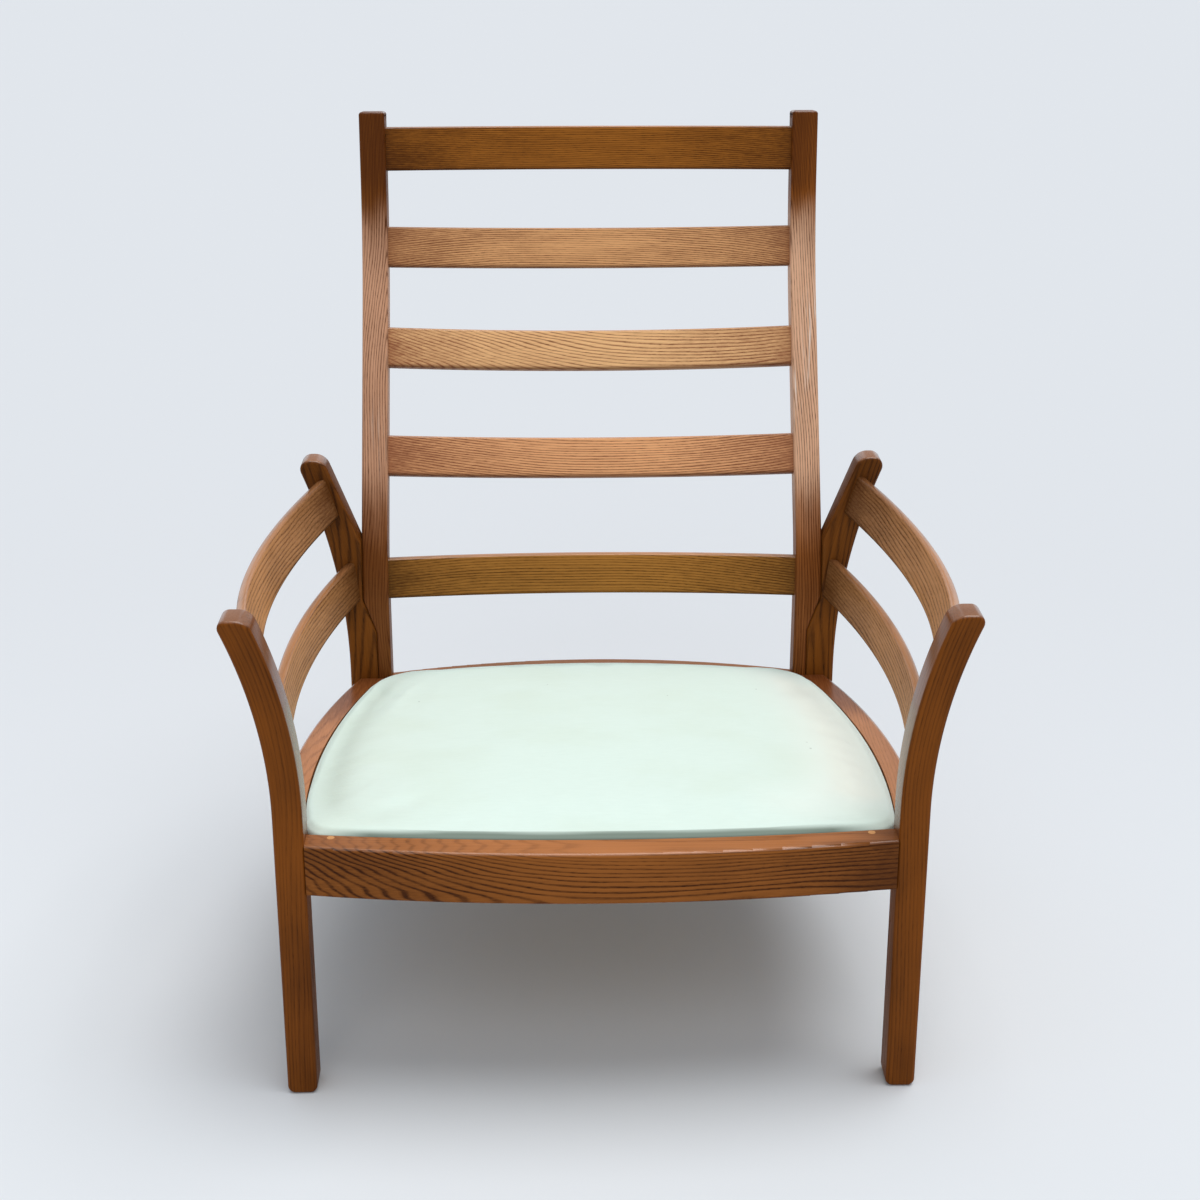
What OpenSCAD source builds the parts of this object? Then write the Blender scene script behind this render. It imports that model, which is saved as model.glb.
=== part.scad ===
// High-back easy chair: a glued and pegged ash frame with horned legs, S-curved back
// stiles, bowed slats and a drop-in upholstered seat. Millimetres, +Z up, the front
// towards -Y. Everything is drawn with Y = 0 on the front legs' faces and is then moved
// so that the origin is under the middle of the chair.

/* [Legs] */
// Width over the outer faces of the front legs
front_width = 686; // [670:2:700]
// Width over the outer faces of the rear legs
rear_width = 629; // [615:1:640]
// From the front legs' faces back to the rear legs' faces
frame_depth = 555; // [500:5:600]
// Width of a front leg, seen from the front
front_leg_width = 32; // [30:1:38]
// Width of a rear leg at the seat, seen from the front
rear_leg_width = 36; // [32:1:40]
// Depth of a front leg, seen from the side
leg_depth = 40; // [38:1:46]
// Depth of a rear leg, seen from the side
rear_leg_depth = 36; // [34:1:38]
// Rounding of the arrises along the legs and stiles
leg_arris = 4.5; // [3:0.5:6]
// Rounding of the feet's lower corners
foot_round = 8; // [4:1:12]

/* [Horns] */
// Height of the front horns
front_horn_height = 552; // [530:2:570]
// Height at which the front legs start to sweep outwards
front_sweep_start = 332; // [320:2:345]
// Radius of the front legs' outward sweep, on the outer side
front_sweep_radius = 525; // [500:5:550]
// Height of the rear horns
rear_horn_height = 555; // [545:1:565]
// Height at which the rear legs start to sweep outwards
rear_sweep_start = 270; // [262:2:280]
// Radius of the rear legs' outward sweep, on the outer side
rear_sweep_radius = 730; // [700:5:780]
// Rounding of the front horns' outer top corners
front_tip_outer = 6; // [4:1:9]
// Rounding of the rear horns' outer top corners
rear_tip_outer = 12; // [8:1:13]
// Rounding of the horns' inner top corners
tip_inner = 15; // [10:1:16]

/* [Back stiles] */
// Height of the stiles
back_height = 958; // [945:1:975]
// Width of a stile, seen from the front
stile_width = 33; // [30:1:36]
// Depth of a stile, seen from the side
stile_depth = 38; // [34:1:40]
// Clear width between the two stiles
stile_gap = 523; // [500:1:530]
// Height at which the stiles start to lean back
lean_start = 372; // [366:2:380]
// Angle at which the middle of the stiles leans back
lean_angle = 27; // [22:1:30]
// Radius of the lower bend, on the front face
lower_bend_radius = 200; // [170:10:260]
// From the stiles' tops down to where they start to straighten up again
straighten_drop = 243; // [235:1:255]
// Radius of the upper bend, on the front face
upper_bend_radius = 440; // [400:10:460]
// Angle at which the top of the stiles leans back
top_lean = 5; // [3:1:8]
// Height of the crotch where the horn leaves the stile
crotch_height = 446; // [436:2:456]
// Height of the top of the stile's sloping shoulder
shoulder_height = 368; // [360:2:372]
// Rise of the stile's sloping shoulder
shoulder_rise = 45; // [35:1:50]
// How far the stiles reach down past the back rail, beside the rear legs
stile_foot_drop = 2.6; // [1:0.2:5]

/* [Back slats] */
// From the stiles' tops down to the middle of the top slat
slat_1_drop = 47; // [40:1:56]
// Place of the second slat between the lowest slat (0) and the top slat (1)
slat_2_place = 0.768; // [0.75:0.002:0.78]
// Place of the third slat between the lowest slat and the top slat
slat_3_place = 0.54; // [0.52:0.002:0.56]
// Place of the fourth slat between the lowest slat and the top slat
slat_4_place = 0.294; // [0.27:0.002:0.31]
// Height of the middle of the lowest slat
slat_5_at = 394; // [388:1:400]
// Height of the top slat's face
top_slat_height = 55; // [48:1:58]
// Height of the other slats' faces
slat_height = 52; // [46:1:56]
// Thickness of a slat
slat_thickness = 15; // [12:1:18]
// How far the middle of a slat bows backwards
slat_bow = 22; // [16:1:30]

/* [Arms] */
// Height of the upper arm slats' rear ends, at the middle of the slat
upper_arm_height = 504; // [496:1:508]
// Height of the lower arm slats' rear ends, at the middle of the slat
lower_arm_height = 393; // [388:1:398]
// How much lower the arm slats' front ends are
arm_drop = 10; // [0:1:14]
// Height of an arm slat's face
arm_slat_height = 53; // [48:1:56]
// Thickness of an arm slat
arm_slat_thickness = 12; // [11:0.5:14]
// How far outside the front leg's middle the upper arm slats end
upper_arm_set_out = 4; // [0:0.5:4]
// How far outside the front leg's middle the lower arm slats end
lower_arm_set_out = 1.5; // [0:0.5:4]
// How far the upper arm slats bow outwards
upper_arm_bow = 40; // [34:1:42]
// How far the lower arm slats bow outwards
lower_arm_bow = 32; // [26:1:36]

/* [Seat rails] */
// Height of the front rail's top
seat_height = 301; // [296:1:306]
// Slope of the seat down towards the back
seat_slope = 4.2; // [3:0.1:5]
// Height of a rail
rail_height = 59; // [55:1:62]
// How far the front rail's face bows forwards
front_rail_bow = 25; // [18:1:28]
// How far the front edge of the seat bows forwards
seat_front_bow = 19; // [15:1:20]
// Width of the front rail's top at its ends, up to the seat
front_rail_top = 28; // [25:1:30]
// Width of the side rails' tops, up to the seat
side_rail_top = 28; // [25:1:30]
// How far the side rails bow outwards
side_rail_bow = 26; // [22:1:28]
// How far a side rail is set in from the rear leg's outer face
side_rail_set_in = 9; // [6:1:10]
// How far the back rail is set in from the rear legs' back faces
back_rail_set_in = 6; // [5:0.5:7]
// Width of the back rail's top, up to the seat
back_rail_top = 16; // [14:1:18]
// How far the back rail bows backwards
back_rail_bow = 41; // [34:1:44]
// Width of the rebate that carries the seat
rebate_width = 10; // [9:0.5:12]
// Depth of the rebate that carries the seat
rebate_depth = 16; // [15:0.5:18]
// Rounding of the rails' top outer arrises
rail_arris = 5; // [3:0.5:6]

/* [Joints] */
// Thickness of the slats' tenons
slat_tenon_thickness = 9; // [7:0.5:10]
// Length of the slats' tenons
slat_tenon_length = 18; // [15:1:20]
// Thickness of the rails' tenons
rail_tenon_thickness = 12; // [10:0.5:13]
// Length of the rails' tenons
rail_tenon_length = 20; // [18:1:20]
// Shoulder left above and below every tenon
tenon_shoulder = 6; // [5:0.5:8]
// Glue gap round tenons and dowels
glue_gap = 0.15; // [0.1:0.05:0.3]
// Diameter of the dowels and of the pegs
dowel_diameter = 8; // [6:0.5:9]
// Size of a corner block along each rail
block_size = 62; // [56:1:66]
// Height of a corner block
block_height = 28; // [24:1:30]

/* [Seat] */
// Crown of the seat at its middle, above the rails
seat_crown = 26; // [20:1:30]
// How far the seat's edge stands above the rails
seat_edge_rise = 6; // [4:0.5:7]
// Radius of the seat's back corners
seat_corner_radius = 88; // [80:2:96]
// How far the seat's sides draw in between its corners
side_draw_in = 1.5; // [1:0.5:3]
// Thickness of the cover
cover_thickness = 1.2; // [1:0.1:1.6]
// How far the cover turns under the seat frame
cover_turn = 24; // [18:1:30]
// Width of the seat frame's members
seat_frame_width = 46; // [40:1:50]
// Thickness of the seat frame's members
seat_frame_thickness = 11; // [10:0.5:12]
// Width of the webbing
web_width = 50; // [44:1:54]
// Thickness of the webbing
web_thickness = 1.2; // [0.8:0.1:1.3]
// Running clearance round soft parts
soft_gap = 0.3; // [0.3:0.05:0.5]

/* [Hidden] */
$fn = 32;
left = -1;
right = 1;
// A length that reaches past the whole chair, for cutting solids
beyond = 1400;

// Faces and centre lines that several pieces share
front_outer = front_width / 2;
rear_outer = rear_width / 2;
front_inner = front_outer - front_leg_width;
rear_inner = rear_outer - rear_leg_width;
stile_inner = stile_gap / 2;
stile_outer = stile_inner + stile_width;
leg_back = leg_depth;
rear_back = frame_depth + rear_leg_depth;

// A list in the opposite order
function backwards(points) = [for (i = [len(points) - 1 : -1 : 0]) points[i]];

// Radius of an arc from its chord and its rise
function arc_radius(chord, rise) = (chord * chord / 4 + rise * rise) / (2 * rise);

// The legs' sweeps: circles about these centres, seen from the front
front_sweep_x = front_outer + front_sweep_radius;
rear_sweep_x = rear_outer + rear_sweep_radius;

// Outer and inner faces of the legs at a height on the horns, and their lean there
function front_outer_at(z) =
  front_sweep_x - sqrt(pow(front_sweep_radius, 2) - pow(z - front_sweep_start, 2));
function front_lean_at(z) = asin((z - front_sweep_start) / (front_sweep_radius + front_leg_width / 2));
function front_middle_at(z) =
  front_sweep_x - (front_sweep_radius + front_leg_width / 2) * cos(front_lean_at(z));
function rear_outer_at(z) =
  rear_sweep_x - sqrt(pow(rear_sweep_radius, 2) - pow(z - rear_sweep_start, 2));
function rear_lean_at(z) = asin((z - rear_sweep_start) / rear_sweep_radius);
function rear_middle_at(z) = rear_outer_at(z) - rear_leg_width / 2 / cos(rear_lean_at(z));

// Heights of the slats' middles, and where the stile straightens up
slat_1_at = back_height - slat_1_drop;
function slat_between(place) = slat_5_at + place * (slat_1_at - slat_5_at);
slat_2_at = slat_between(slat_2_place);
slat_3_at = slat_between(slat_3_place);
slat_4_at = slat_between(slat_4_place);
straighten_start = back_height - straighten_drop;

// The stile's front face: upright, bent back, straight, bent up again, straight
lower_bend_top = lean_start + lower_bend_radius * sin(lean_angle);
lower_bend_back = frame_depth + lower_bend_radius * (1 - cos(lean_angle));
straight_back = lower_bend_back + (straighten_start - lower_bend_top) * tan(lean_angle);
upper_bend_top = straighten_start + upper_bend_radius * (sin(lean_angle) - sin(top_lean));
upper_bend_back = straight_back + upper_bend_radius * (cos(top_lean) - cos(lean_angle));
stile_top_front = upper_bend_back + (back_height - upper_bend_top) * tan(top_lean);
function stile_lean(z) =
  z < lean_start ? 0 :
  z < lower_bend_top ? asin((z - lean_start) / lower_bend_radius) :
  z < straighten_start ? lean_angle :
  z < upper_bend_top ? asin(sin(lean_angle) - (z - straighten_start) / upper_bend_radius) :
  top_lean;
function stile_face(z) =
  z < lean_start ? frame_depth :
  z < lower_bend_top ? frame_depth + lower_bend_radius * (1 - cos(stile_lean(z))) :
  z < straighten_start ? lower_bend_back + (z - lower_bend_top) * tan(lean_angle) :
  z < upper_bend_top ? straight_back + upper_bend_radius * (cos(stile_lean(z)) - cos(lean_angle)) :
  upper_bend_back + (z - upper_bend_top) * tan(top_lean);

// How far a tenon's root reaches back into its own piece
tenon_root = 3;
// Rounding of the slats' long arrises
slat_arris = 3;
arm_slat_arris = 4;

// The whole chair's front and back, which place the origin
chair_front = -front_rail_bow;
top_slat_lean = stile_lean(slat_1_at);
top_slat_back = stile_face(slat_1_at)
  + (stile_depth / 2 + slat_bow + slat_thickness / 2 - slat_arris) * cos(top_slat_lean)
  + (top_slat_height / 2 - slat_arris) * sin(top_slat_lean) + slat_arris;
chair_back = max(stile_top_front + stile_depth * cos(top_lean), top_slat_back);

// The seat's plane falls towards the back
function seat_plane(y) = seat_height - y * tan(seat_slope);

// Plan arcs of the seat: the radius and the centre of each edge of the seat opening
seat_front_radius = arc_radius(2 * front_inner, seat_front_bow);
seat_front_y = front_rail_top;
seat_front_centre = seat_front_y - seat_front_bow + seat_front_radius;
front_face_radius = arc_radius(2 * front_inner, front_rail_bow);
front_face_centre = front_face_radius - front_rail_bow;

side_chord_rear = rear_outer - side_rail_set_in;
side_length = frame_depth - leg_back;
side_turn = atan((front_outer - side_chord_rear) / side_length);
side_chord = side_length / cos(side_turn);
side_outer_radius = arc_radius(side_chord, side_rail_bow);
seat_side_radius = side_outer_radius - side_rail_top;
side_middle_x = (front_outer + side_chord_rear) / 2;
side_middle_y = (frame_depth + leg_back) / 2;
side_centre_x = side_middle_x - (side_outer_radius - side_rail_bow) * cos(side_turn);
side_centre_y = side_middle_y - (side_outer_radius - side_rail_bow) * sin(side_turn);

back_face_y = rear_back - back_rail_set_in;
back_outer_radius = arc_radius(stile_gap, back_rail_bow);
back_centre = back_face_y + back_rail_bow - back_outer_radius;
seat_back_radius = back_outer_radius - back_rail_top;
back_rail_height = seat_plane(rear_back);
stile_foot_height = back_rail_height - rail_height - stile_foot_drop;

// The seat's round back corners touch both the side arcs and the back arc
function meeting(a, a_radius, b, b_radius) =
  let(gap = norm(b - a), along = (a_radius * a_radius - b_radius * b_radius + gap * gap) / (2 * gap))
  let(run = (b - a) / gap, off = sqrt(a_radius * a_radius - along * along))
  a + along * run + off * [-run[1], run[0]];
side_centre = [side_centre_x, side_centre_y];
back_arc_centre = [0, back_centre];
front_arc_centre = [0, seat_front_centre];
corner = meeting(side_centre, seat_side_radius - seat_corner_radius,
  back_arc_centre, seat_back_radius - seat_corner_radius);
side_touch = (corner - side_centre) / norm(corner - side_centre);
back_touch = (corner - back_arc_centre) / norm(corner - back_arc_centre);

// Where the edges of the seat opening lie
function side_edge_x(y) = side_centre_x + sqrt(pow(seat_side_radius, 2) - pow(y - side_centre_y, 2));
function back_edge_y(x) = back_centre + sqrt(pow(seat_back_radius, 2) - x * x);
function front_edge_y(x) = seat_front_centre - sqrt(pow(seat_front_radius, 2) - x * x);

slat_heights = [slat_1_at, slat_2_at, slat_3_at, slat_4_at, slat_5_at];
function face_height(z) = z == slat_1_at ? top_slat_height : slat_height;

wood_brown = [0.42, 0.24, 0.12];
rail_brown = [0.45, 0.26, 0.13];
slat_brown = [0.55, 0.35, 0.2];
peg_pale = [0.72, 0.53, 0.33];
inner_wood = [0.78, 0.64, 0.45];
steel_grey = [0.62, 0.62, 0.6];
web_buff = [0.7, 0.62, 0.48];
foam_cream = [0.93, 0.89, 0.76];
mint = [0.88, 0.96, 0.92];

// Moves the chair so that the origin lies under the middle of its box
module placed() {
  translate([0, -(chair_front + chair_back) / 2, 0]) children();
}

// Draws a right-hand piece on the side asked for
module on_side(side) {
  mirror([side == left ? 1 : 0, 0, 0]) children();
}

// A rectangle with round corners, about its middle
module round_rect(width, height, round) {
  square([width - 2 * round, height], center = true);
  square([width, height - 2 * round], center = true);
  for (x = [-1, 1], y = [-1, 1])
    translate([x * (width / 2 - round), y * (height / 2 - round)]) circle(round);
}

// Turns a solid made round the Z axis so that its axis lies along Y, for the legs' sweeps
module sweep_outwards(centre_x, centre_z, section_x, width, depth, face, turn) {
  translate([centre_x, face, centre_z]) mirror([1, 0, 0]) rotate([90, 0, 0])
    rotate_extrude(angle = turn, $fn = 180)
      translate([section_x, -depth / 2]) round_rect(width, depth, leg_arris);
}

// Points along an arc, for round corners inside a polygon
function arc_points(centre, radius, from, to, steps) = [for (i = [0 : steps])
  let(a = from + (to - from) * i / steps) centre + radius * [cos(a), sin(a)]];
// The round lower corners of a foot, from the outer one to the inner one
function foot_points(outer, inner) = concat(
  [[outer + 60, 40], [outer + 1, 40], [outer + 1, foot_round + 1.5]],
  arc_points([outer - foot_round, foot_round], foot_round, -6, -90, 7),
  arc_points([inner + foot_round, foot_round], foot_round, -90, -174, 7));

// Front view of the front leg: only the tip and the foot are cut by it, the sides lie clear
module front_leg_outline() {
  centre = [front_sweep_x, front_sweep_start];
  outer_z = front_horn_height - front_tip_outer;
  inner_z = front_horn_height - tip_inner;
  inner_radius = front_sweep_radius + front_leg_width;
  outer_turn = asin((outer_z - front_sweep_start) / (front_sweep_radius + front_tip_outer));
  inner_turn = asin((inner_z - front_sweep_start) / (inner_radius - tip_inner));
  outer_arm = [-cos(outer_turn), sin(outer_turn)];
  inner_arm = [-cos(inner_turn), sin(inner_turn)];
  outer_foot = centre + front_sweep_radius * outer_arm;
  inner_foot = centre + inner_radius * inner_arm;
  polygon(concat(
    arc_points(centre + (front_sweep_radius + front_tip_outer) * outer_arm, front_tip_outer,
      8 - outer_turn, 90, 9),
    arc_points(centre + (inner_radius - tip_inner) * inner_arm, tip_inner, 90, 174 - inner_turn, 9),
    [inner_foot + inner_arm - 4 * [inner_arm[1], -inner_arm[0]], inner_foot + 40 * inner_arm,
      [front_inner - 60, 60], [front_inner - 1, 60], [front_inner - 1, foot_round + 1.5]],
    backwards(foot_points(front_outer, front_inner)),
    [outer_foot - 40 * outer_arm, outer_foot - outer_arm - 4 * [outer_arm[1], -outer_arm[0]]]));
}

// Front view of the rear leg: its inner side is cut back where the stile lies
inner_tip_lean = rear_lean_at(rear_horn_height - tip_inner);
module rear_leg_outline() {
  centre = [rear_sweep_x, rear_sweep_start];
  outer_z = rear_horn_height - rear_tip_outer;
  inner_z = rear_horn_height - tip_inner;
  outer_turn = asin((outer_z - rear_sweep_start) / (rear_sweep_radius + rear_tip_outer));
  outer_arm = [-cos(outer_turn), sin(outer_turn)];
  outer_foot = centre + rear_sweep_radius * outer_arm;
  // The inner side runs straight from the crotch up to the tip
  inner_slope = [sin(inner_tip_lean), cos(inner_tip_lean)];
  inner_rise = inner_z + tip_inner * inner_slope[0] - crotch_height;
  inner_foot = [stile_outer, crotch_height] + inner_slope * inner_rise / inner_slope[1];
  inner_centre = inner_foot + tip_inner * [inner_slope[1], -inner_slope[0]];
  polygon(concat(
    arc_points(centre + (rear_sweep_radius + rear_tip_outer) * outer_arm, rear_tip_outer,
      8 - outer_turn, 90, 9),
    arc_points(inner_centre, tip_inner, 90, 180 - inner_tip_lean, 9),
    [[stile_outer, crotch_height], [stile_outer, shoulder_height],
      [rear_inner, shoulder_height - shoulder_rise]],
    backwards(foot_points(rear_outer, rear_inner)),
    [outer_foot - 40 * outer_arm, outer_foot - outer_arm - 4 * [outer_arm[1], -outer_arm[0]]]));
}

module front_leg_body() {
  intersection() {
    union() {
      translate([front_outer - front_leg_width / 2, leg_depth / 2, 0])
        linear_extrude(height = front_sweep_start)
          round_rect(front_leg_width, leg_depth, leg_arris);
      sweep_outwards(front_sweep_x, front_sweep_start, front_sweep_radius + front_leg_width / 2,
        front_leg_width, leg_depth, 0, 28);
    }
    translate([0, leg_depth + 1, 0]) rotate([90, 0, 0]) linear_extrude(height = leg_depth + 2)
      front_leg_outline();
  }
}

module rear_leg_body() {
  bar = rear_leg_width + stile_width;
  intersection() {
    union() {
      translate([rear_outer - bar / 2, frame_depth + rear_leg_depth / 2, 0])
        linear_extrude(height = rear_sweep_start) round_rect(bar, rear_leg_depth, leg_arris);
      sweep_outwards(rear_sweep_x, rear_sweep_start, rear_sweep_radius + bar / 2, bar,
        rear_leg_depth, frame_depth, 28);
    }
    translate([0, rear_back + 1, 0]) rotate([90, 0, 0]) linear_extrude(height = rear_leg_depth + 2)
      rear_leg_outline();
  }
}

module front_leg(side) color(wood_brown) on_side(side) difference() {
  front_leg_body();
  front_rail_tenon(glue_gap);
  side_rail_tenon(true, glue_gap);
  arm_tenon(upper_arm_height, true, glue_gap);
  arm_tenon(lower_arm_height, true, glue_gap);
  rail_peg_bore();
}

module rear_leg(side) color(wood_brown) on_side(side) difference() {
  rear_leg_body();
  back_rail_tenon(glue_gap);
  side_rail_tenon(false, glue_gap);
  arm_tenon(upper_arm_height, false, glue_gap);
  arm_tenon(lower_arm_height, false, glue_gap);
  scarf_dowel_bores();
}

// The stile: five stretches of one section along its S-curve. The straight ones run a little
// way into the bends, whose section is a hair smaller so that every face meets cleanly.
stretch_lap = 0.5;
bend_ease = 0.1;
module stile_body() {
  middle_x = stile_inner + stile_width / 2;
  translate([middle_x, frame_depth + stile_depth / 2, stile_foot_height])
    linear_extrude(height = lean_start - stile_foot_height + stretch_lap) stile_section();
  translate([middle_x, frame_depth + lower_bend_radius, lean_start])
    rotate([0, 90, 0]) rotate([0, 0, -90 - lean_angle]) rotate_extrude(angle = lean_angle, $fn = 360)
      translate([lower_bend_radius - stile_depth / 2, 0]) rotate(90) stile_section(bend_ease);
  translate([middle_x, lower_bend_back, lower_bend_top]) rotate([-lean_angle, 0, 0])
    translate([0, stile_depth / 2, -stretch_lap])
      linear_extrude(height = (straighten_start - lower_bend_top) / cos(lean_angle) + 2 * stretch_lap)
        stile_section();
  translate([middle_x, straight_back - upper_bend_radius * cos(lean_angle),
    straighten_start + upper_bend_radius * sin(lean_angle)])
    rotate([0, 90, 0]) rotate([0, 0, 90 - lean_angle])
      rotate_extrude(angle = lean_angle - top_lean, $fn = 360)
        translate([upper_bend_radius + stile_depth / 2, 0]) rotate(90) stile_section(bend_ease);
  translate([middle_x, upper_bend_back, upper_bend_top]) rotate([-top_lean, 0, 0])
    translate([0, stile_depth / 2, -stretch_lap])
      linear_extrude(height = (back_height - upper_bend_top) / cos(top_lean) + stretch_lap)
        stile_section();
}
module stile_section(less = 0) round_rect(stile_width - less, stile_depth - less, leg_arris);

module back_stile(side) color(wood_brown) on_side(side) difference() {
  stile_body();
  // The lower outer side is scribed to the rear leg
  translate([0, beyond, 0]) rotate([90, 0, 0]) linear_extrude(height = beyond)
    stile_cut_outline();
  for (z = slat_heights) slat_tenon(z, glue_gap);
  back_rail_tenon(glue_gap);
  scarf_dowel_bores();
}

// Front view of what the rear leg takes away from the stile
module stile_cut_outline() {
  polygon([[rear_inner, 0], [rear_inner, shoulder_height - shoulder_rise],
    [stile_outer, shoulder_height], [stile_outer + stile_width, shoulder_height],
    [stile_outer + stile_width, 0]]);
}

// A bar bowed towards +Y: its chord lies along X between two faces that are `gap` apart
module bowed_bar(gap, bow, thickness, height, round) {
  radius = arc_radius(gap, bow);
  reach = asin((gap / 2 + thickness) / radius);
  intersection() {
    translate([0, bow - radius, 0]) rotate([0, 0, 90 - reach])
      rotate_extrude(angle = 2 * reach, $fn = 240)
        translate([radius, 0]) round_rect(thickness, height, round);
    cube([gap, beyond, beyond], center = true);
  }
}

// Moves a slat or its tenon to its place on the stiles' middle line
module at_slat(z) {
  lean = stile_lean(z);
  translate([0, stile_face(z) + stile_depth / 2 * cos(lean), z - stile_depth / 2 * sin(lean)])
    rotate([-lean, 0, 0]) children();
}

module slat_tenon(z, gap = 0) {
  at_slat(z) translate([stile_inner + (slat_tenon_length - tenon_root) / 2, 0, 0])
    cube([slat_tenon_length + tenon_root + 2 * gap, slat_tenon_thickness + 2 * gap,
      face_height(z) - 2 * tenon_shoulder + 2 * gap], center = true);
}

module back_slat(z) color(slat_brown) {
  at_slat(z) bowed_bar(stile_gap, slat_bow, slat_thickness, face_height(z), slat_arris);
  for (side = [left, right]) on_side(side) slat_tenon(z);
}

// Moves a bar made along X to an arm slat's place: chord from the rear leg to the front leg
function arm_front_height(z) = z - arm_drop;
function arm_front_x(z) = front_middle_at(arm_front_height(z))
  + (z == upper_arm_height ? upper_arm_set_out : lower_arm_set_out);
function arm_lean(z) = (rear_lean_at(z) + front_lean_at(arm_front_height(z))) / 2;
module at_arm(z) {
  rear_x = rear_middle_at(z);
  front_x = arm_front_x(z);
  turn = atan((front_x - rear_x) / side_length);
  tip = atan(arm_drop / side_length);
  translate([(rear_x + front_x) / 2, (frame_depth + leg_back) / 2, z - arm_drop / 2])
    rotate([tip, 0, 0]) rotate([0, 0, turn]) rotate([0, arm_lean(z), 0]) rotate([0, 0, -90]) children();
}

// The tenons run straight back and forward into the legs
module arm_tenon(z, at_front, gap = 0) {
  x = at_front ? arm_front_x(z) : rear_middle_at(z);
  height = at_front ? arm_front_height(z) : z;
  face = at_front ? leg_back : frame_depth;
  middle = (slat_tenon_length - tenon_root) / 2;
  translate([x, at_front ? face - middle : face + middle, height]) rotate([0, arm_lean(z), 0])
    cube([arm_slat_thickness - arm_slat_arris + 2 * gap, slat_tenon_length + tenon_root + 2 * gap,
      arm_slat_height - 2 * tenon_shoulder + 2 * gap], center = true);
}

module upper_arm_slat(side) arm_slat(side, upper_arm_height, upper_arm_bow);
module lower_arm_slat(side) arm_slat(side, lower_arm_height, lower_arm_bow);
module arm_slat(side, z, bow) color(slat_brown) on_side(side) {
  intersection() {
    at_arm(z) bowed_arm(bow);
    translate([-beyond / 2, leg_back, 0]) cube([beyond, side_length, beyond]);
  }
  arm_tenon(z, true);
  arm_tenon(z, false);
}
module bowed_arm(bow) {
  chord = side_length + 2 * arm_slat_thickness;
  radius = arc_radius(side_length, bow);
  reach = asin(chord / 2 / radius);
  translate([0, bow - radius, 0]) rotate([0, 0, 90 - reach])
    rotate_extrude(angle = 2 * reach, $fn = 240)
      translate([radius, 0]) round_rect(arm_slat_thickness, arm_slat_height, arm_slat_arris);
}

// Tips a level solid into the seat's slope about the front rail's top
module sloped() {
  translate([0, 0, seat_height]) rotate([-seat_slope, 0, 0]) children();
}

// Plan of the seat opening, made larger or smaller all round by the same amount
module seat_plan(grow) {
  far = corner + 2 * seat_corner_radius * [1, 1];
  side_point = corner + (seat_corner_radius + grow) * side_touch;
  back_point = corner + (seat_corner_radius + grow) * back_touch;
  difference() {
    intersection() {
      translate(front_arc_centre) circle(seat_front_radius + grow, $fn = 1440);
      translate(back_arc_centre) circle(seat_back_radius + grow, $fn = 360);
      translate(side_centre) circle(seat_side_radius + grow, $fn = 360);
      mirror([1, 0]) translate(side_centre) circle(seat_side_radius + grow, $fn = 360);
    }
    for (side = [left, right]) mirror([side == left ? 1 : 0, 0])
      polygon([side_point, corner, back_point, far]);
  }
  for (side = [left, right]) mirror([side == left ? 1 : 0, 0])
    translate(corner) circle(seat_corner_radius + grow, $fn = 120);
}

// What the seat and its rebate take away from the rails
module seat_opening() sloped() {
  translate([0, 0, -rebate_depth]) linear_extrude(height = rail_height) seat_plan(0);
  translate([0, 0, -2 * rail_height]) linear_extrude(height = 2 * rail_height) seat_plan(-rebate_width);
}

// Section of a rail before the rebate is cut: the outer face is on the Y axis
module rail_section(width) {
  translate([-width, -rail_height]) square([width - rail_arris, rail_height]);
  translate([-rail_arris - 1, rail_arris - rail_height])
    square([rail_arris + 1, rail_height - 2 * rail_arris]);
  translate([-rail_arris, -rail_arris]) circle(rail_arris);
  translate([-rail_arris, rail_arris - rail_height]) circle(rail_arris);
}

module front_rail() color(rail_brown) {
  width = front_rail_top + front_rail_bow + rebate_width;
  half_turn = asin(1.2 * front_inner / front_face_radius);
  difference() {
    intersection() {
      translate([0, front_face_centre, seat_height]) rotate([0, 0, -90 - half_turn])
        rotate_extrude(angle = 2 * half_turn, $fn = 720)
          translate([front_face_radius, 0]) rail_section(width);
      translate([-front_inner, -beyond / 2, 0]) cube([2 * front_inner, beyond / 2 + leg_back, beyond]);
    }
    seat_opening();
    front_screw_bores();
    for (side = [left, right]) on_side(side) rail_peg_bore();
  }
  for (side = [left, right]) on_side(side) front_rail_tenon();
}
module front_rail_tenon(gap = 0) {
  translate([front_inner - tenon_root - gap, leg_depth / 2 - 1 - rail_tenon_thickness - gap,
    seat_height - rail_height + tenon_shoulder - gap])
    cube([rail_tenon_length + tenon_root + 2 * gap, rail_tenon_thickness + 2 * gap,
      rail_height - 2 * tenon_shoulder - rail_arris + 2 * gap]);
}

// A side rail is bowed outwards and slopes with the seat
module side_rail(side) color(rail_brown) on_side(side) {
  width = side_rail_top + 2 * rebate_width;
  half_turn = asin(0.65 * side_chord / side_outer_radius);
  difference() {
    intersection() {
      sloped() translate(side_centre) rotate([0, 0, side_turn - half_turn])
        rotate_extrude(angle = 2 * half_turn, $fn = 360)
          translate([side_outer_radius, 0]) rail_section(width);
      translate([stile_inner, leg_back, 0]) cube([beyond, side_length, beyond]);
    }
    seat_opening();
    side_screw_bores();
  }
  side_rail_tenon(true);
  side_rail_tenon(false);
}
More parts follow.
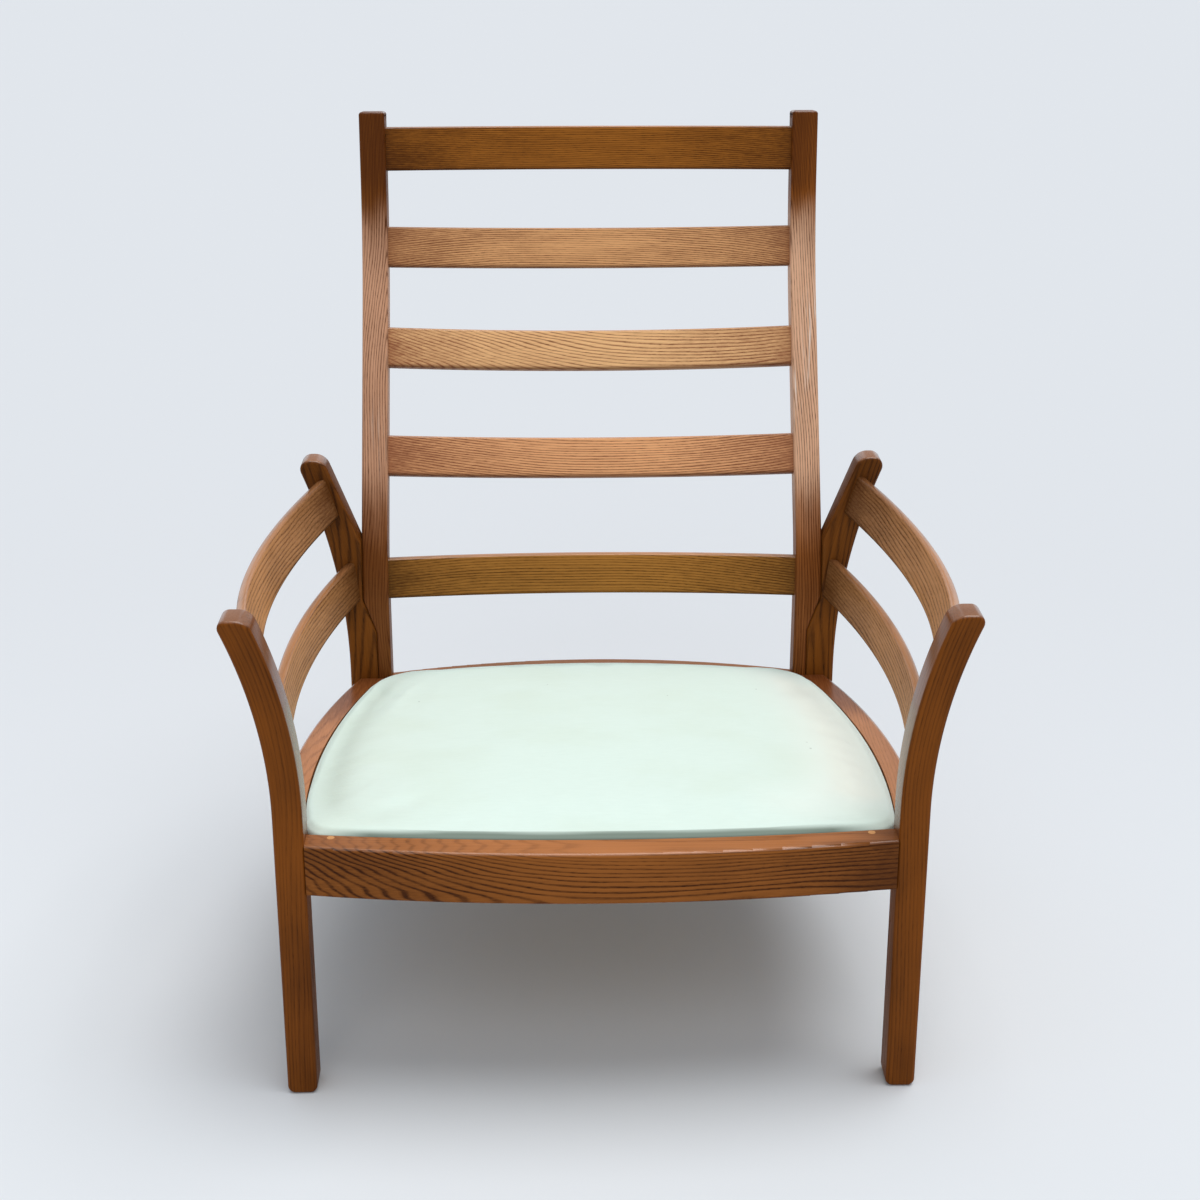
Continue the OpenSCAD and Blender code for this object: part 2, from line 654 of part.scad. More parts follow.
// The rear tenon stops short of the back rail's tenon
module side_rail_tenon(at_front, gap = 0) {
  x = at_front ? front_outer - front_leg_width / 2 : side_chord_rear - side_rail_top / 2;
  face = at_front ? leg_back : frame_depth;
  length = at_front ? leg_depth / 2 - 1 : back_tenon_y - frame_depth - 2;
  middle = (length - tenon_root) / 2;
  translate([x, at_front ? face - middle : face + middle, seat_plane(face) - rail_height / 2])
    cube([rail_tenon_thickness + 2 * gap, length + tenon_root + 2 * gap,
      rail_height - 2 * tenon_shoulder - rail_arris + 2 * gap], center = true);
}

// The back rail is bowed backwards and level
module back_rail() color(rail_brown) {
  width = back_rail_top + 2 * rebate_width;
  half_turn = asin(0.6 * stile_gap / back_outer_radius);
  difference() {
    intersection() {
      translate([0, back_centre, back_rail_height]) rotate([0, 0, 90 - half_turn])
        rotate_extrude(angle = 2 * half_turn, $fn = 360)
          translate([back_outer_radius, 0]) rail_section(width);
      translate([-stile_inner, frame_depth, 0]) cube([stile_gap, beyond, beyond]);
    }
    seat_opening();
    back_screw_bores();
  }
  for (side = [left, right]) on_side(side) back_rail_tenon();
}
// Each tenon passes through the stile and on into the rear leg
back_tenon_y = back_face_y - rail_arris + 1 - rail_tenon_thickness;
module back_rail_tenon(gap = 0) {
  reach = rear_inner - stile_inner + rail_tenon_length - tenon_shoulder;
  translate([stile_inner - tenon_root - gap, back_tenon_y - gap,
    back_rail_height - rail_height + tenon_shoulder - gap])
    cube([reach + tenon_root + 2 * gap, rail_tenon_thickness + 2 * gap,
      rail_height - 2 * tenon_shoulder - rail_arris + 2 * gap]);
}

// Pegs stand in the front rail's top, just in front of the seat
peg_x = front_inner - 26;
peg_y = front_edge_y(peg_x) - dowel_diameter / 2 - 0.6;
peg_length = rail_height / 2;
module rail_peg_bore() {
  translate([peg_x, peg_y, seat_height - peg_length - glue_gap])
    cylinder(d = dowel_diameter + 2 * glue_gap, h = rail_height);
}
module rail_pegs() color(peg_pale) {
  for (side = [left, right]) on_side(side)
    translate([peg_x, peg_y, seat_height - peg_length]) cylinder(d = dowel_diameter, h = peg_length);
}

// Dowels across the joint between each stile and its rear leg
dowel_heights = [stile_foot_height + 108, crotch_height - 24];
dowel_length = 28;
function dowel_plane(z) = z < shoulder_height ? rear_inner : stile_outer;
module scarf_dowel(z, gap = 0) {
  translate([dowel_plane(z) - 11 - gap, stile_face(z) + stile_depth / 2, z]) rotate([0, 90, 0])
    cylinder(d = dowel_diameter + 2 * gap, h = dowel_length + 2 * gap);
}
module scarf_dowel_bores() {
  for (z = dowel_heights) scarf_dowel(z, glue_gap);
}
module scarf_dowels() color(peg_pale) {
  for (side = [left, right]) on_side(side) for (z = dowel_heights) scarf_dowel(z);
}

// Corner blocks: a three-cornered block in each corner under the rebate, in the seat's slope.
// A block is set out from the point where the two rails' inner faces would meet.
ledge_grow = -rebate_width - soft_gap;
block_top = -rebate_depth - 2;
front_corner_x = front_inner - rebate_width + 5;
front_corner_y = front_rail_top + rebate_width;
back_corner_reach = seat_corner_radius - rebate_width;
module front_block_body() {
  translate([0, 0, block_top - block_height]) linear_extrude(height = block_height) intersection() {
    seat_plan(ledge_grow);
    polygon([[front_corner_x + 10, 0], [front_corner_x + 10, front_corner_y + block_size],
      [front_corner_x - 8, front_corner_y + block_size],
      [front_corner_x - block_size, front_corner_y + 8], [front_corner_x - block_size, 0]]);
  }
}
// The back blocks fill the round corner as far as a straight cut across it
block_cut = 0.85 * block_size;
module back_block_body() {
  translate([0, 0, block_top - block_height]) linear_extrude(height = block_height) intersection() {
    seat_plan(ledge_grow);
    translate(corner) rotate(45) translate([back_corner_reach - block_cut, -beyond / 2])
      square([beyond, beyond]);
  }
}

screw_diameter = 4;
screw_head = 8;
screw_head_height = 3;
screw_length = 30;
seat_screw_length = 38;
block_middle = block_top - block_height / 2;
// A screw pointing along +Z with its head's outer face at zero
module screw(length) {
  difference() {
    cylinder(d = screw_head, h = screw_head_height);
    translate([-screw_head, -0.5, -1]) cube([2 * screw_head, 1, 2]);
  }
  cylinder(d = screw_diameter, h = length - screw_diameter);
  translate([0, 0, length - screw_diameter])
    cylinder(d1 = screw_diameter, d2 = 0.6, h = screw_diameter);
}
// The hole for a screw, with a wide mouth for its head
module screw_bore(length) {
  translate([0, 0, -rail_height / 2]) cylinder(d = screw_head + 1, h = rail_height / 2 + screw_head_height);
  cylinder(d = screw_diameter + 2 * glue_gap, h = length + glue_gap);
}
// Places a screw in the seat's slope, its head's face at a point, turned about the vertical
module screw_at(point, turn) {
  translate([point[0], point[1], block_middle]) rotate([0, 0, turn]) rotate([90, 0, 0]) children();
}
front_screw_point = [front_corner_x - 38, front_corner_y + 14];
side_screw_point = [front_corner_x - 14, front_corner_y + 38];
back_screw_point = corner + [-8, back_corner_reach - 12];
rear_screw_point = corner + [back_corner_reach - 14, -8];
front_seat_screw_point = [front_corner_x - 24, front_corner_y + 22];
back_seat_screw_point = corner + (seat_corner_radius - 30) * [sin(45), sin(45)];
module front_screw_bores() for (side = [left, right]) on_side(side) sloped()
  screw_at(front_screw_point, 0) screw_bore(screw_length);
module side_screw_bores() sloped() {
  screw_at(side_screw_point, 90) screw_bore(screw_length);
  screw_at(rear_screw_point, 90) screw_bore(screw_length);
}
module back_screw_bores() for (side = [left, right]) on_side(side) sloped()
  screw_at(back_screw_point, 180) screw_bore(screw_length);
module seat_screw_at(point) {
  translate([point[0], point[1], block_top - block_height + 2]) children();
}
module corner_block_front(side) color(inner_wood) on_side(side) sloped() difference() {
  front_block_body();
  screw_at(front_screw_point, 0) screw_bore(screw_length);
  screw_at(side_screw_point, 90) screw_bore(screw_length);
  seat_screw_at(front_seat_screw_point) screw_bore(seat_screw_length);
}
module corner_block_back(side) color(inner_wood) on_side(side) sloped() difference() {
  back_block_body();
  screw_at(back_screw_point, 180) screw_bore(screw_length);
  screw_at(rear_screw_point, 90) screw_bore(screw_length);
  seat_screw_at(back_seat_screw_point) screw_bore(seat_screw_length);
}
module corner_block_screws() color(steel_grey) for (side = [left, right]) on_side(side) sloped() {
  screw_at(front_screw_point, 0) screw(screw_length);
  screw_at(side_screw_point, 90) screw(screw_length);
  screw_at(back_screw_point, 180) screw(screw_length);
  screw_at(rear_screw_point, 90) screw(screw_length);
}
module seat_screws() color(steel_grey) for (side = [left, right]) on_side(side) sloped() {
  seat_screw_at(front_seat_screw_point) screw(seat_screw_length);
  seat_screw_at(back_seat_screw_point) screw(seat_screw_length);
}

// The drop-in seat, in the seat's slope. Its frame is four curved members, halved at the corners.
cover_under = -rebate_depth + soft_gap;
frame_bottom = cover_under + cover_thickness + soft_gap;
frame_top = frame_bottom + seat_frame_thickness;
cover_fit = 0.5;
frame_grow = -cover_fit - side_draw_in - cover_thickness - soft_gap;
lap_level = frame_bottom + seat_frame_thickness / 2;
module frame_plan() difference() {
  seat_plan(frame_grow);
  seat_plan(frame_grow - seat_frame_width);
  // The front corners pass inside the front legs
  for (side = [left, right]) mirror([side == left ? 1 : 0, 0])
    polygon([[front_inner - 8, 0], [front_inner - 8, leg_back - 4], [front_inner - 4.5, leg_back + 2],
      [front_inner + 3.5, leg_back + 32], [front_outer + 20, leg_back + 32], [front_outer + 20, 0]]);
}
// The laps are cut square: where they start along the sides, and how wide the tongues are
front_lap = seat_front_y - frame_grow + seat_frame_width;
back_lap = corner[1];
front_tongue_x = side_edge_x(front_lap) + frame_grow - seat_frame_width;
back_tongue_x = corner[0] + seat_corner_radius + frame_grow - seat_frame_width;
module front_tongue() translate([front_tongue_x, 0]) square([seat_frame_width * 2, front_lap]);
module back_tongue() translate([back_tongue_x, back_lap]) square(seat_frame_width);
module both_tongues() for (side = [left, right]) mirror([side == left ? 1 : 0, 0]) {
  front_tongue();
  back_tongue();
}
module lower_half() {
  translate([0, 0, frame_bottom]) linear_extrude(height = lap_level - frame_bottom)
    intersection() {
      frame_plan();
      children();
    }
}
module upper_half() {
  translate([0, 0, lap_level]) linear_extrude(height = frame_top - lap_level)
    intersection() {
      frame_plan();
      children();
    }
}
module seat_screw_pilots() for (side = [left, right]) on_side(side) {
  seat_screw_at(front_seat_screw_point) screw_bore(seat_screw_length);
  seat_screw_at(back_seat_screw_point) screw_bore(seat_screw_length);
}
module front_zone() translate([-front_outer, -leg_back]) square([front_width, front_lap + leg_back]);
module side_zone() translate([0, front_lap]) square([front_outer, back_lap - front_lap]);
module back_zone() translate([-front_outer, back_lap]) square([front_width, back_lap]);
module seat_frame_front() color(inner_wood) sloped() difference() {
  union() {
    lower_half() front_zone();
    upper_half() difference() {
      front_zone();
      both_tongues();
    }
  }
  seat_screw_pilots();
}
module seat_frame_back() color(inner_wood) sloped() difference() {
  union() {
    lower_half() back_zone();
    upper_half() difference() {
      back_zone();
      both_tongues();
    }
  }
  seat_screw_pilots();
}
module seat_frame_side(side) color(inner_wood) on_side(side) sloped() difference() {
  union() {
    lower_half() side_zone();
    upper_half() {
      side_zone();
      front_tongue();
      back_tongue();
    }
  }
  seat_screw_pilots();
}

// Webbing: straps woven over and under one another, their ends lying on the frame
web_gap = 0.2;
web_side_room = 81.5;
web_front_room = 38;
web_back_room = 51;
web_ends = 14;
web_low = frame_top;
web_high = web_low + web_thickness + web_gap;
web_last_x = stile_inner - web_side_room;
web_first_y = seat_front_y + seat_frame_width + web_front_room;
web_last_y = back_face_y - back_rail_top - seat_frame_width - web_back_room;
web_along_x = [for (i = [-2 : 2]) web_last_x * i / 2];
web_across_y = [for (i = [0 : 4]) web_first_y + (web_last_y - web_first_y) * i / 4];
web_flat = web_width / 2 + 1;
// Side view of a strap: low at both ends, high where it passes over
function strap_line(start, end, crossings, over, lift) = concat(
  [[start, web_low + lift], [crossings[0] - web_flat - 12, web_low + lift]],
  [for (i = [0 : len(crossings) - 1]) for (s = [-1, 1])
    [crossings[i] + s * web_flat, ((i + over) % 2 == 0 ? web_high : web_low) + lift]],
  [[crossings[len(crossings) - 1] + web_flat + 12, web_low + lift], [end, web_low + lift]]);
module strap(start, end, crossings, over) {
  polygon(concat(strap_line(start, end, crossings, over, 0),
    backwards(strap_line(start, end, crossings, over, web_thickness))));
}
module seat_webbing_along() color(web_buff) sloped()
  for (i = [0 : len(web_along_x) - 1])
    translate([web_along_x[i] - web_width / 2, 0, 0]) rotate([90, 0, 90]) linear_extrude(height = web_width)
      strap(front_edge_y(web_along_x[i]) + web_ends, back_edge_y(abs(web_along_x[i]) + web_width / 2) - web_ends,
        web_across_y, i % 2);
module seat_webbing_across() color(web_buff) sloped()
  for (i = [0 : len(web_across_y) - 1])
    translate([0, web_across_y[i] + web_width / 2, 0]) rotate([90, 0, 0]) linear_extrude(height = web_width)
      strap(web_ends - side_edge_x(web_across_y[i] + web_width / 2),
        side_edge_x(web_across_y[i] + web_width / 2) - web_ends, web_along_x, (i + 1) % 2);

// The seat's outline, half of it from the front round to the back, then the whole of it.
// The sides draw in a little between the corners, and the front corners pass inside the legs.
function bulge(t) = 1 - 4 * (t - 0.5) * (t - 0.5);
function front_half() = [for (i = [0 : 5])
  let(x = i / 5 * (front_inner - 14))
  [x, front_edge_y(x) + cover_fit + side_draw_in * bulge(0.5 + 0.1 * i)]];
side_from = leg_back + 30;
side_to = (side_centre + seat_side_radius * side_touch)[1];
function side_half() = [for (i = [0 : 7])
  let(y = side_from + i / 7 * (side_to - side_from))
  [side_edge_x(y) - cover_fit - side_draw_in * bulge(i / 7), y]];
corner_from = atan2(side_touch[1], side_touch[0]);
corner_to = atan2(back_touch[1], back_touch[0]);
function corner_half() = [for (i = [1 : 5])
  let(a = corner_from + i / 6 * (corner_to - corner_from))
  corner + (seat_corner_radius - cover_fit) * [cos(a), sin(a)]];
back_from = (back_arc_centre + seat_back_radius * back_touch)[0];
function back_half() = [for (i = [0 : 4])
  let(x = back_from * (1 - i / 5))
  [x, back_edge_y(x) - cover_fit - side_draw_in * bulge(0.5 * i / 5)]];
back_middle = [[0, back_edge_y(0) - cover_fit - side_draw_in]];
half_outline = concat(front_half(),
  [[front_inner - 6, front_edge_y(front_inner) + 2.6], [front_inner - 2, leg_back - 2.5]],
  side_half(), corner_half(), back_half(), back_middle);
outline = concat(half_outline,
  [for (i = [len(half_outline) - 2 : -1 : 1]) [-half_outline[i][0], half_outline[i][1]]]);
pad_middle = [0, (seat_front_y + back_edge_y(0)) / 2];
pad_reach = 300;

// The cover's section from the middle of the top, over the edge and under the frame.
// Each pair is a distance in from the outline and a height above the rails.
edge_top = seat_edge_rise + 4;
function crown_at(s) = edge_top + (seat_crown - edge_top) * (1 - pow(s / 0.93, 2));
cover_section = concat(
  [for (s = [0.16, 0.38, 0.58, 0.74, 0.86]) [(1 - s) * pad_reach, crown_at(s)]],
  [[21, edge_top], [11, seat_edge_rise + 2.2], [4.5, seat_edge_rise], [1, seat_edge_rise - 3],
    [0, seat_edge_rise - 7], [0, cover_under + 1.5], [1.5, cover_under], [cover_turn, cover_under]]);
function section_normal(i) =
  let(a = cover_section[max(i - 1, 0)], b = cover_section[min(i + 1, len(cover_section) - 1)])
  let(d = b - a) [-d[1], d[0]] / norm(d) * -1;
function inner_section(depth, steps) = [for (i = steps) cover_section[i] - depth * section_normal(i)];
function ring(section) =
  [for (p = outline)
    let(q = pad_middle + (p - pad_middle) * (1 - section[0] / pad_reach)) [q[0], q[1], section[1]]];
function flat_list(lists) = [for (l = lists) for (p = l) p];
// Joins rings of points into a closed skin, with a point at the first and the last end
module ringed_solid(sections, first, last) {
  count = len(outline);
  points = concat([[pad_middle[0], pad_middle[1], first]], flat_list([for (s = sections) ring(s)]),
    [[pad_middle[0], pad_middle[1], last]]);
  end = len(points) - 1;
  sides = [for (k = [0 : len(sections) - 2]) for (i = [0 : count - 1])
    [1 + k * count + i, 1 + k * count + (i + 1) % count,
      1 + (k + 1) * count + (i + 1) % count, 1 + (k + 1) * count + i]];
  halves = flat_list([for (f = sides) [[f[0], f[1], f[2]], [f[0], f[2], f[3]]]]);
  top = [for (i = [0 : count - 1]) [0, 1 + (i + 1) % count, 1 + i]];
  base = 1 + (len(sections) - 1) * count;
  bottom = [for (i = [0 : count - 1]) [end, base + i, base + (i + 1) % count]];
  polyhedron(points = points, faces = concat(top, halves, bottom));
}
module seat_cover() color(mint) sloped()
  ringed_solid(
    concat(cover_section, inner_section(cover_thickness, [12, 11, 10, 9, 8, 6, 5, 4, 2, 0])),
    seat_crown, seat_crown - cover_thickness);
// The foam follows the inside of the cover down to the webbing
foam_depth = cover_thickness + soft_gap;
foam_bottom = web_high + web_thickness + soft_gap;
foam_section = inner_section(foam_depth, [0, 2, 4, 5, 6, 8]);
module seat_foam() color(foam_cream) sloped()
  ringed_solid(concat(foam_section, [[foam_section[5][0], foam_bottom]]),
    seat_crown - foam_depth, foam_bottom);

placed() front_leg(left);  // front_leg_left
placed() front_leg(right);  // front_leg_right
placed() rear_leg(left);  // rear_leg_left
placed() rear_leg(right);  // rear_leg_right
placed() back_stile(left);  // back_stile_left
placed() back_stile(right);  // back_stile_right
placed() back_slat(slat_1_at);  // back_slat_1
placed() back_slat(slat_2_at);  // back_slat_2
placed() back_slat(slat_3_at);  // back_slat_3
placed() back_slat(slat_4_at);  // back_slat_4
placed() back_slat(slat_5_at);  // back_slat_5
placed() upper_arm_slat(left);  // arm_slat_upper_left
placed() upper_arm_slat(right);  // arm_slat_upper_right
placed() lower_arm_slat(left);  // arm_slat_lower_left
placed() lower_arm_slat(right);  // arm_slat_lower_right
placed() front_rail();
placed() back_rail();
placed() side_rail(left);  // side_rail_left
placed() side_rail(right);  // side_rail_right
placed() rail_pegs();
placed() scarf_dowels();
placed() corner_block_front(left);  // corner_block_front_left
placed() corner_block_front(right);  // corner_block_front_right
placed() corner_block_back(left);  // corner_block_back_left
placed() corner_block_back(right);  // corner_block_back_right
placed() corner_block_screws();
placed() seat_screws();
placed() seat_frame_front();
placed() seat_frame_back();
placed() seat_frame_side(left);  // seat_frame_left
placed() seat_frame_side(right);  // seat_frame_right
placed() seat_webbing_along();
placed() seat_webbing_across();
placed() seat_foam();
placed() seat_cover();
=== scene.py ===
# High-back easy chair: a brown-stained ash frame with horned legs, S-curved back stiles,
# bowed slats and a drop-in seat covered in pale mint cloth. Metres, in the CAD model's frame.
import bpy
import bmesh
from math import asin, atan, atan2, cos, degrees, dist, exp, hypot, pi, radians, sin, sqrt, tan
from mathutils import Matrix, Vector


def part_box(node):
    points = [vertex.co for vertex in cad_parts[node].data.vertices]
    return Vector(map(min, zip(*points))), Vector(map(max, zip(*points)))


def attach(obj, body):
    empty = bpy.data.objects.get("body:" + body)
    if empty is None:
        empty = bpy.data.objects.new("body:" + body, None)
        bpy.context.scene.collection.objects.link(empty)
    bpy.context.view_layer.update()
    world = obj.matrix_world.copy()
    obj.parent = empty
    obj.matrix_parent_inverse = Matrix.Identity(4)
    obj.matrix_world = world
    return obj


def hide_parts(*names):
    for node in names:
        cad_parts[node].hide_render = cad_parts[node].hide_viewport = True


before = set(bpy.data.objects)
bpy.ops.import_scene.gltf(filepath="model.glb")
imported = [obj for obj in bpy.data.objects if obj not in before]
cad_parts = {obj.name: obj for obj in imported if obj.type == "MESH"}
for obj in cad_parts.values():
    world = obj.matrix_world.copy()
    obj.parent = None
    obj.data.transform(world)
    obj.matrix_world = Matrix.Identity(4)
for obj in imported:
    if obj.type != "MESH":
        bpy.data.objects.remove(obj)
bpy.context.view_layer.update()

# Front legs. Each is sawn from one ash board: upright below the seat, then sweeping outwards
# into a horn. Arrises, foot and tip are softened by hand, and the arm slats and the rails are
# tenoned into the back and the inner side.
front_outer = 0.343
front_leg_width = 0.032
front_leg_depth = 0.040
front_inner = front_outer - front_leg_width
leg_arris = 0.0045
foot_round = 0.008
front_sweep_start = 0.332
front_sweep_radius = 0.525
front_horn_height = 0.552
front_tip_outer = 0.009
tip_inner = 0.019
front_face_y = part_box("front_leg_right")[0][1]


def arc(centre, radius, start, end, steps):
    """Points on a circle from one angle to another, in degrees."""
    turns = [radians(start + (end - start) * i / steps) for i in range(steps + 1)]
    return [(centre[0] + radius * cos(a), centre[1] + radius * sin(a)) for a in turns]


def spread(points, count):
    """The same number of points for every side of a board, evenly along it."""
    lengths = [0.0]
    for a, b in zip(points, points[1:]):
        lengths.append(lengths[-1] + dist(a, b))
    found, k = [], 0
    for i in range(count):
        wanted = lengths[-1] * i / (count - 1)
        while k < len(points) - 2 and lengths[k + 1] < wanted:
            k += 1
        t = (wanted - lengths[k]) / max(lengths[k + 1] - lengths[k], 1e-9)
        found.append(tuple(p + (q - p) * t for p, q in zip(points[k], points[k + 1])))
    return found


def stand(name, data):
    """Puts a new object into the scene, at the chair's origin."""
    piece = bpy.data.objects.new(name, data)
    bpy.context.scene.collection.objects.link(piece)
    return piece


def solid(name, form):
    """Turns a finished form into an object."""
    data = bpy.data.meshes.new(name)
    form.to_mesh(data)
    form.free()
    return stand(name, data)


def sawn_board(name, one_side, other_side, thickness_at, arris, place, grain):
    """A curved board: two long edges drawn in a plane, cut out square to it, arrises rounded.
    Each edge runs from the board's foot to its top. thickness_at(i) gives where the board
    starts and ends across the plane, place turns a plane point into the chair's frame, and
    grain gives the point's place in the plank that the board was sawn from."""
    across, rounding_steps, flat_margin = 5, 6, 0.0008
    rungs = len(one_side)
    top, foot = [[tuple(a + (b - a) * k / across for a, b in zip(start, end))
                  for k in range(1, across)]
                 for start, end in ((one_side[-1], other_side[-1]), (other_side[0], one_side[0]))]
    outline = one_side + top + other_side[::-1] + foot
    rung_of = ([*range(rungs)] + [rungs - 1] * (across - 1)
               + [*range(rungs)][::-1] + [0] * (across - 1))
    count = len(outline)
    area = sum(outline[i - 1][0] * outline[i][1] - outline[i][0] * outline[i - 1][1]
               for i in range(count))
    inwards = []
    for i in range(count):
        before, after = outline[i - 1], outline[(i + 1) % count]
        normal = Vector((before[1] - after[1], after[0] - before[0])).normalized()
        inwards.append(normal * (1 if area > 0 else -1))
    turns = [pi / 2 * k / rounding_steps for k in range(rounding_steps + 1)]
    levels = [(0.0, arris + flat_margin)]
    levels += [(arris * (1 - cos(a)), arris * (1 - sin(a))) for a in turns]
    board = bmesh.new()
    marks = board.verts.layers.float_vector.new("grain")
    rings = []
    for side in (0, 1):
        for depth, inset in levels[::-1] if side else levels:
            ring = []
            for i, point in enumerate(outline):
                start, end = thickness_at(rung_of[i])
                at = end - depth if side else start + depth
                moved = (point[0] + inwards[i].x * inset, point[1] + inwards[i].y * inset)
                ring.append(board.verts.new(place(*moved, at)))
                ring[-1][marks] = grain(*moved, at)
            rings.append(ring)
    for lower, upper in zip(rings, rings[1:]):
        for i in range(count):
            j = (i + 1) % count
            board.faces.new((lower[i], lower[j], upper[j], upper[i]))
    for ring, side in ((rings[0], 0), (rings[-1], 1)):
        rows = []
        for i in range(rungs):
            a, b = ring[i], ring[2 * rungs + across - 2 - i]
            if i == 0:
                between = [ring[count - k] for k in range(1, across)]
            elif i == rungs - 1:
                between = [ring[rungs - 1 + k] for k in range(1, across)]
            else:
                between = []
                for k in range(1, across):
                    between.append(board.verts.new(a.co.lerp(b.co, k / across)))
                    between[-1][marks] = a[marks].lerp(b[marks], k / across)
            rows.append([a, *between, b])
        for low, high in zip(rows, rows[1:]):
            for k in range(across):
                quad = (low[k], low[k + 1], high[k + 1], high[k])
                board.faces.new(quad[::-1] if side else quad)
    bmesh.ops.recalc_face_normals(board, faces=board.faces)
    for face in board.faces:
        face.smooth = True
    return solid(name, board)


def maths(operation, swapped=False):
    """A method that joins a value and its other operands in one Math node."""
    def joined(*operands):
        given = operands[::-1] if swapped else operands
        return operands[0].maker.add("Math", dict(enumerate(given)), operation=operation)
    return joined


class Value:
    """A node's socket that takes part in sums as a number does."""
    __add__ = __radd__ = maths("ADD")
    __mul__ = __rmul__ = maths("MULTIPLY")
    __sub__, __rsub__ = maths("SUBTRACT"), maths("SUBTRACT", True)
    __truediv__, __pow__ = maths("DIVIDE"), maths("POWER")
    under, over, beyond = maths("MINIMUM"), maths("MAXIMUM"), maths("GREATER_THAN")
    fract, whole, size = maths("FRACT"), maths("ROUND"), maths("ABSOLUTE")
    left_over, zigzag = maths("FLOORED_MODULO"), maths("PINGPONG")

    def __init__(self, maker, socket):
        self.maker, self.socket = maker, socket

    def smooth(self, low, high, start=0.0, end=1.0):
        return self.maker.add("MapRange", {"Value": self, "From Min": low, "From Max": high,
                                           "To Min": start, "To Max": end},
                              interpolation_type="SMOOTHSTEP")


class Nodes:
    """A node tree, filled by one method that adds any node: it takes the values or links of
    its sockets, the output that is wanted, a ramp's greys, and the node's settings."""
    family = "ShaderNode"
    shared = ("Math", "VectorMath", "MapRange", "SeparateXYZ", "CombineXYZ")

    def __init__(self, tree):
        self.tree = tree

    def add(self, kind, inputs=None, output=0, stops=(), **settings):
        family = "ShaderNode" if kind in self.shared else self.family
        node = self.tree.nodes.new(family + kind)
        for key, value in settings.items():
            setattr(node, key, value)
        if stops:
            greys = node.color_ramp.elements
            while len(greys) < len(stops):
                greys.new(0.5)
            for element, (place, grey) in zip(greys, stops):
                element.position, element.color = place, (grey, grey, grey, 1)
        for key, value in (inputs or {}).items():
            self.put(node.inputs[key], value)
        return Value(self, node.outputs[output])

    def put(self, socket, value):
        if isinstance(value, Value):
            self.tree.links.new(value.socket, socket)
        elif socket.type == "RGBA":
            socket.default_value = (*value, 1)
        else:
            socket.default_value = value

    def split(self, vector):
        node = self.add("SeparateXYZ", {0: vector}).socket.node
        return [Value(self, output) for output in node.outputs]

    def vector(self, x=0.0, y=0.0, z=0.0):
        return self.add("CombineXYZ", {0: x, 1: y, 2: z})


class Finish(Nodes):
    """A material and its nodes."""

    def __init__(self, name):
        self.material = bpy.data.materials.new(name)
        self.material.use_nodes = True
        super().__init__(self.material.node_tree)

    def here(self):
        return self.add("TexCoord", output="Object")

    def mark(self, name, output="Fac"):
        return self.add("Attribute", output=output, attribute_name=name)

    def noise(self, at, stretch, detail=2.0, shift=(0, 0, 0), rough=0.5):
        moved = self.add("Mapping", {"Vector": at, "Scale": stretch, "Location": shift})
        return self.add("TexNoise", {"Vector": moved, "Scale": 1.0, "Detail": detail,
                                     "Roughness": rough})

    def mix(self, share, a, b):
        return self.add("Mix", {0: share, 6: a, 7: b}, 2, data_type="RGBA")

    def bump(self, strength, distance, height):
        return self.add("Bump", {"Strength": strength, "Distance": distance, "Height": height})

    def finish(self, shader):
        for name, value in shader.items():
            self.put(self.tree.nodes["Principled BSDF"].inputs[name], value)
        return self.material


def linear(red, green, blue):
    """A colour as it is read off a screen, turned into light."""
    return tuple(c / 12.92 if c <= 0.04045 else ((c + 0.055) / 1.055) ** 2.4
                 for c in (red / 255, green / 255, blue / 255))


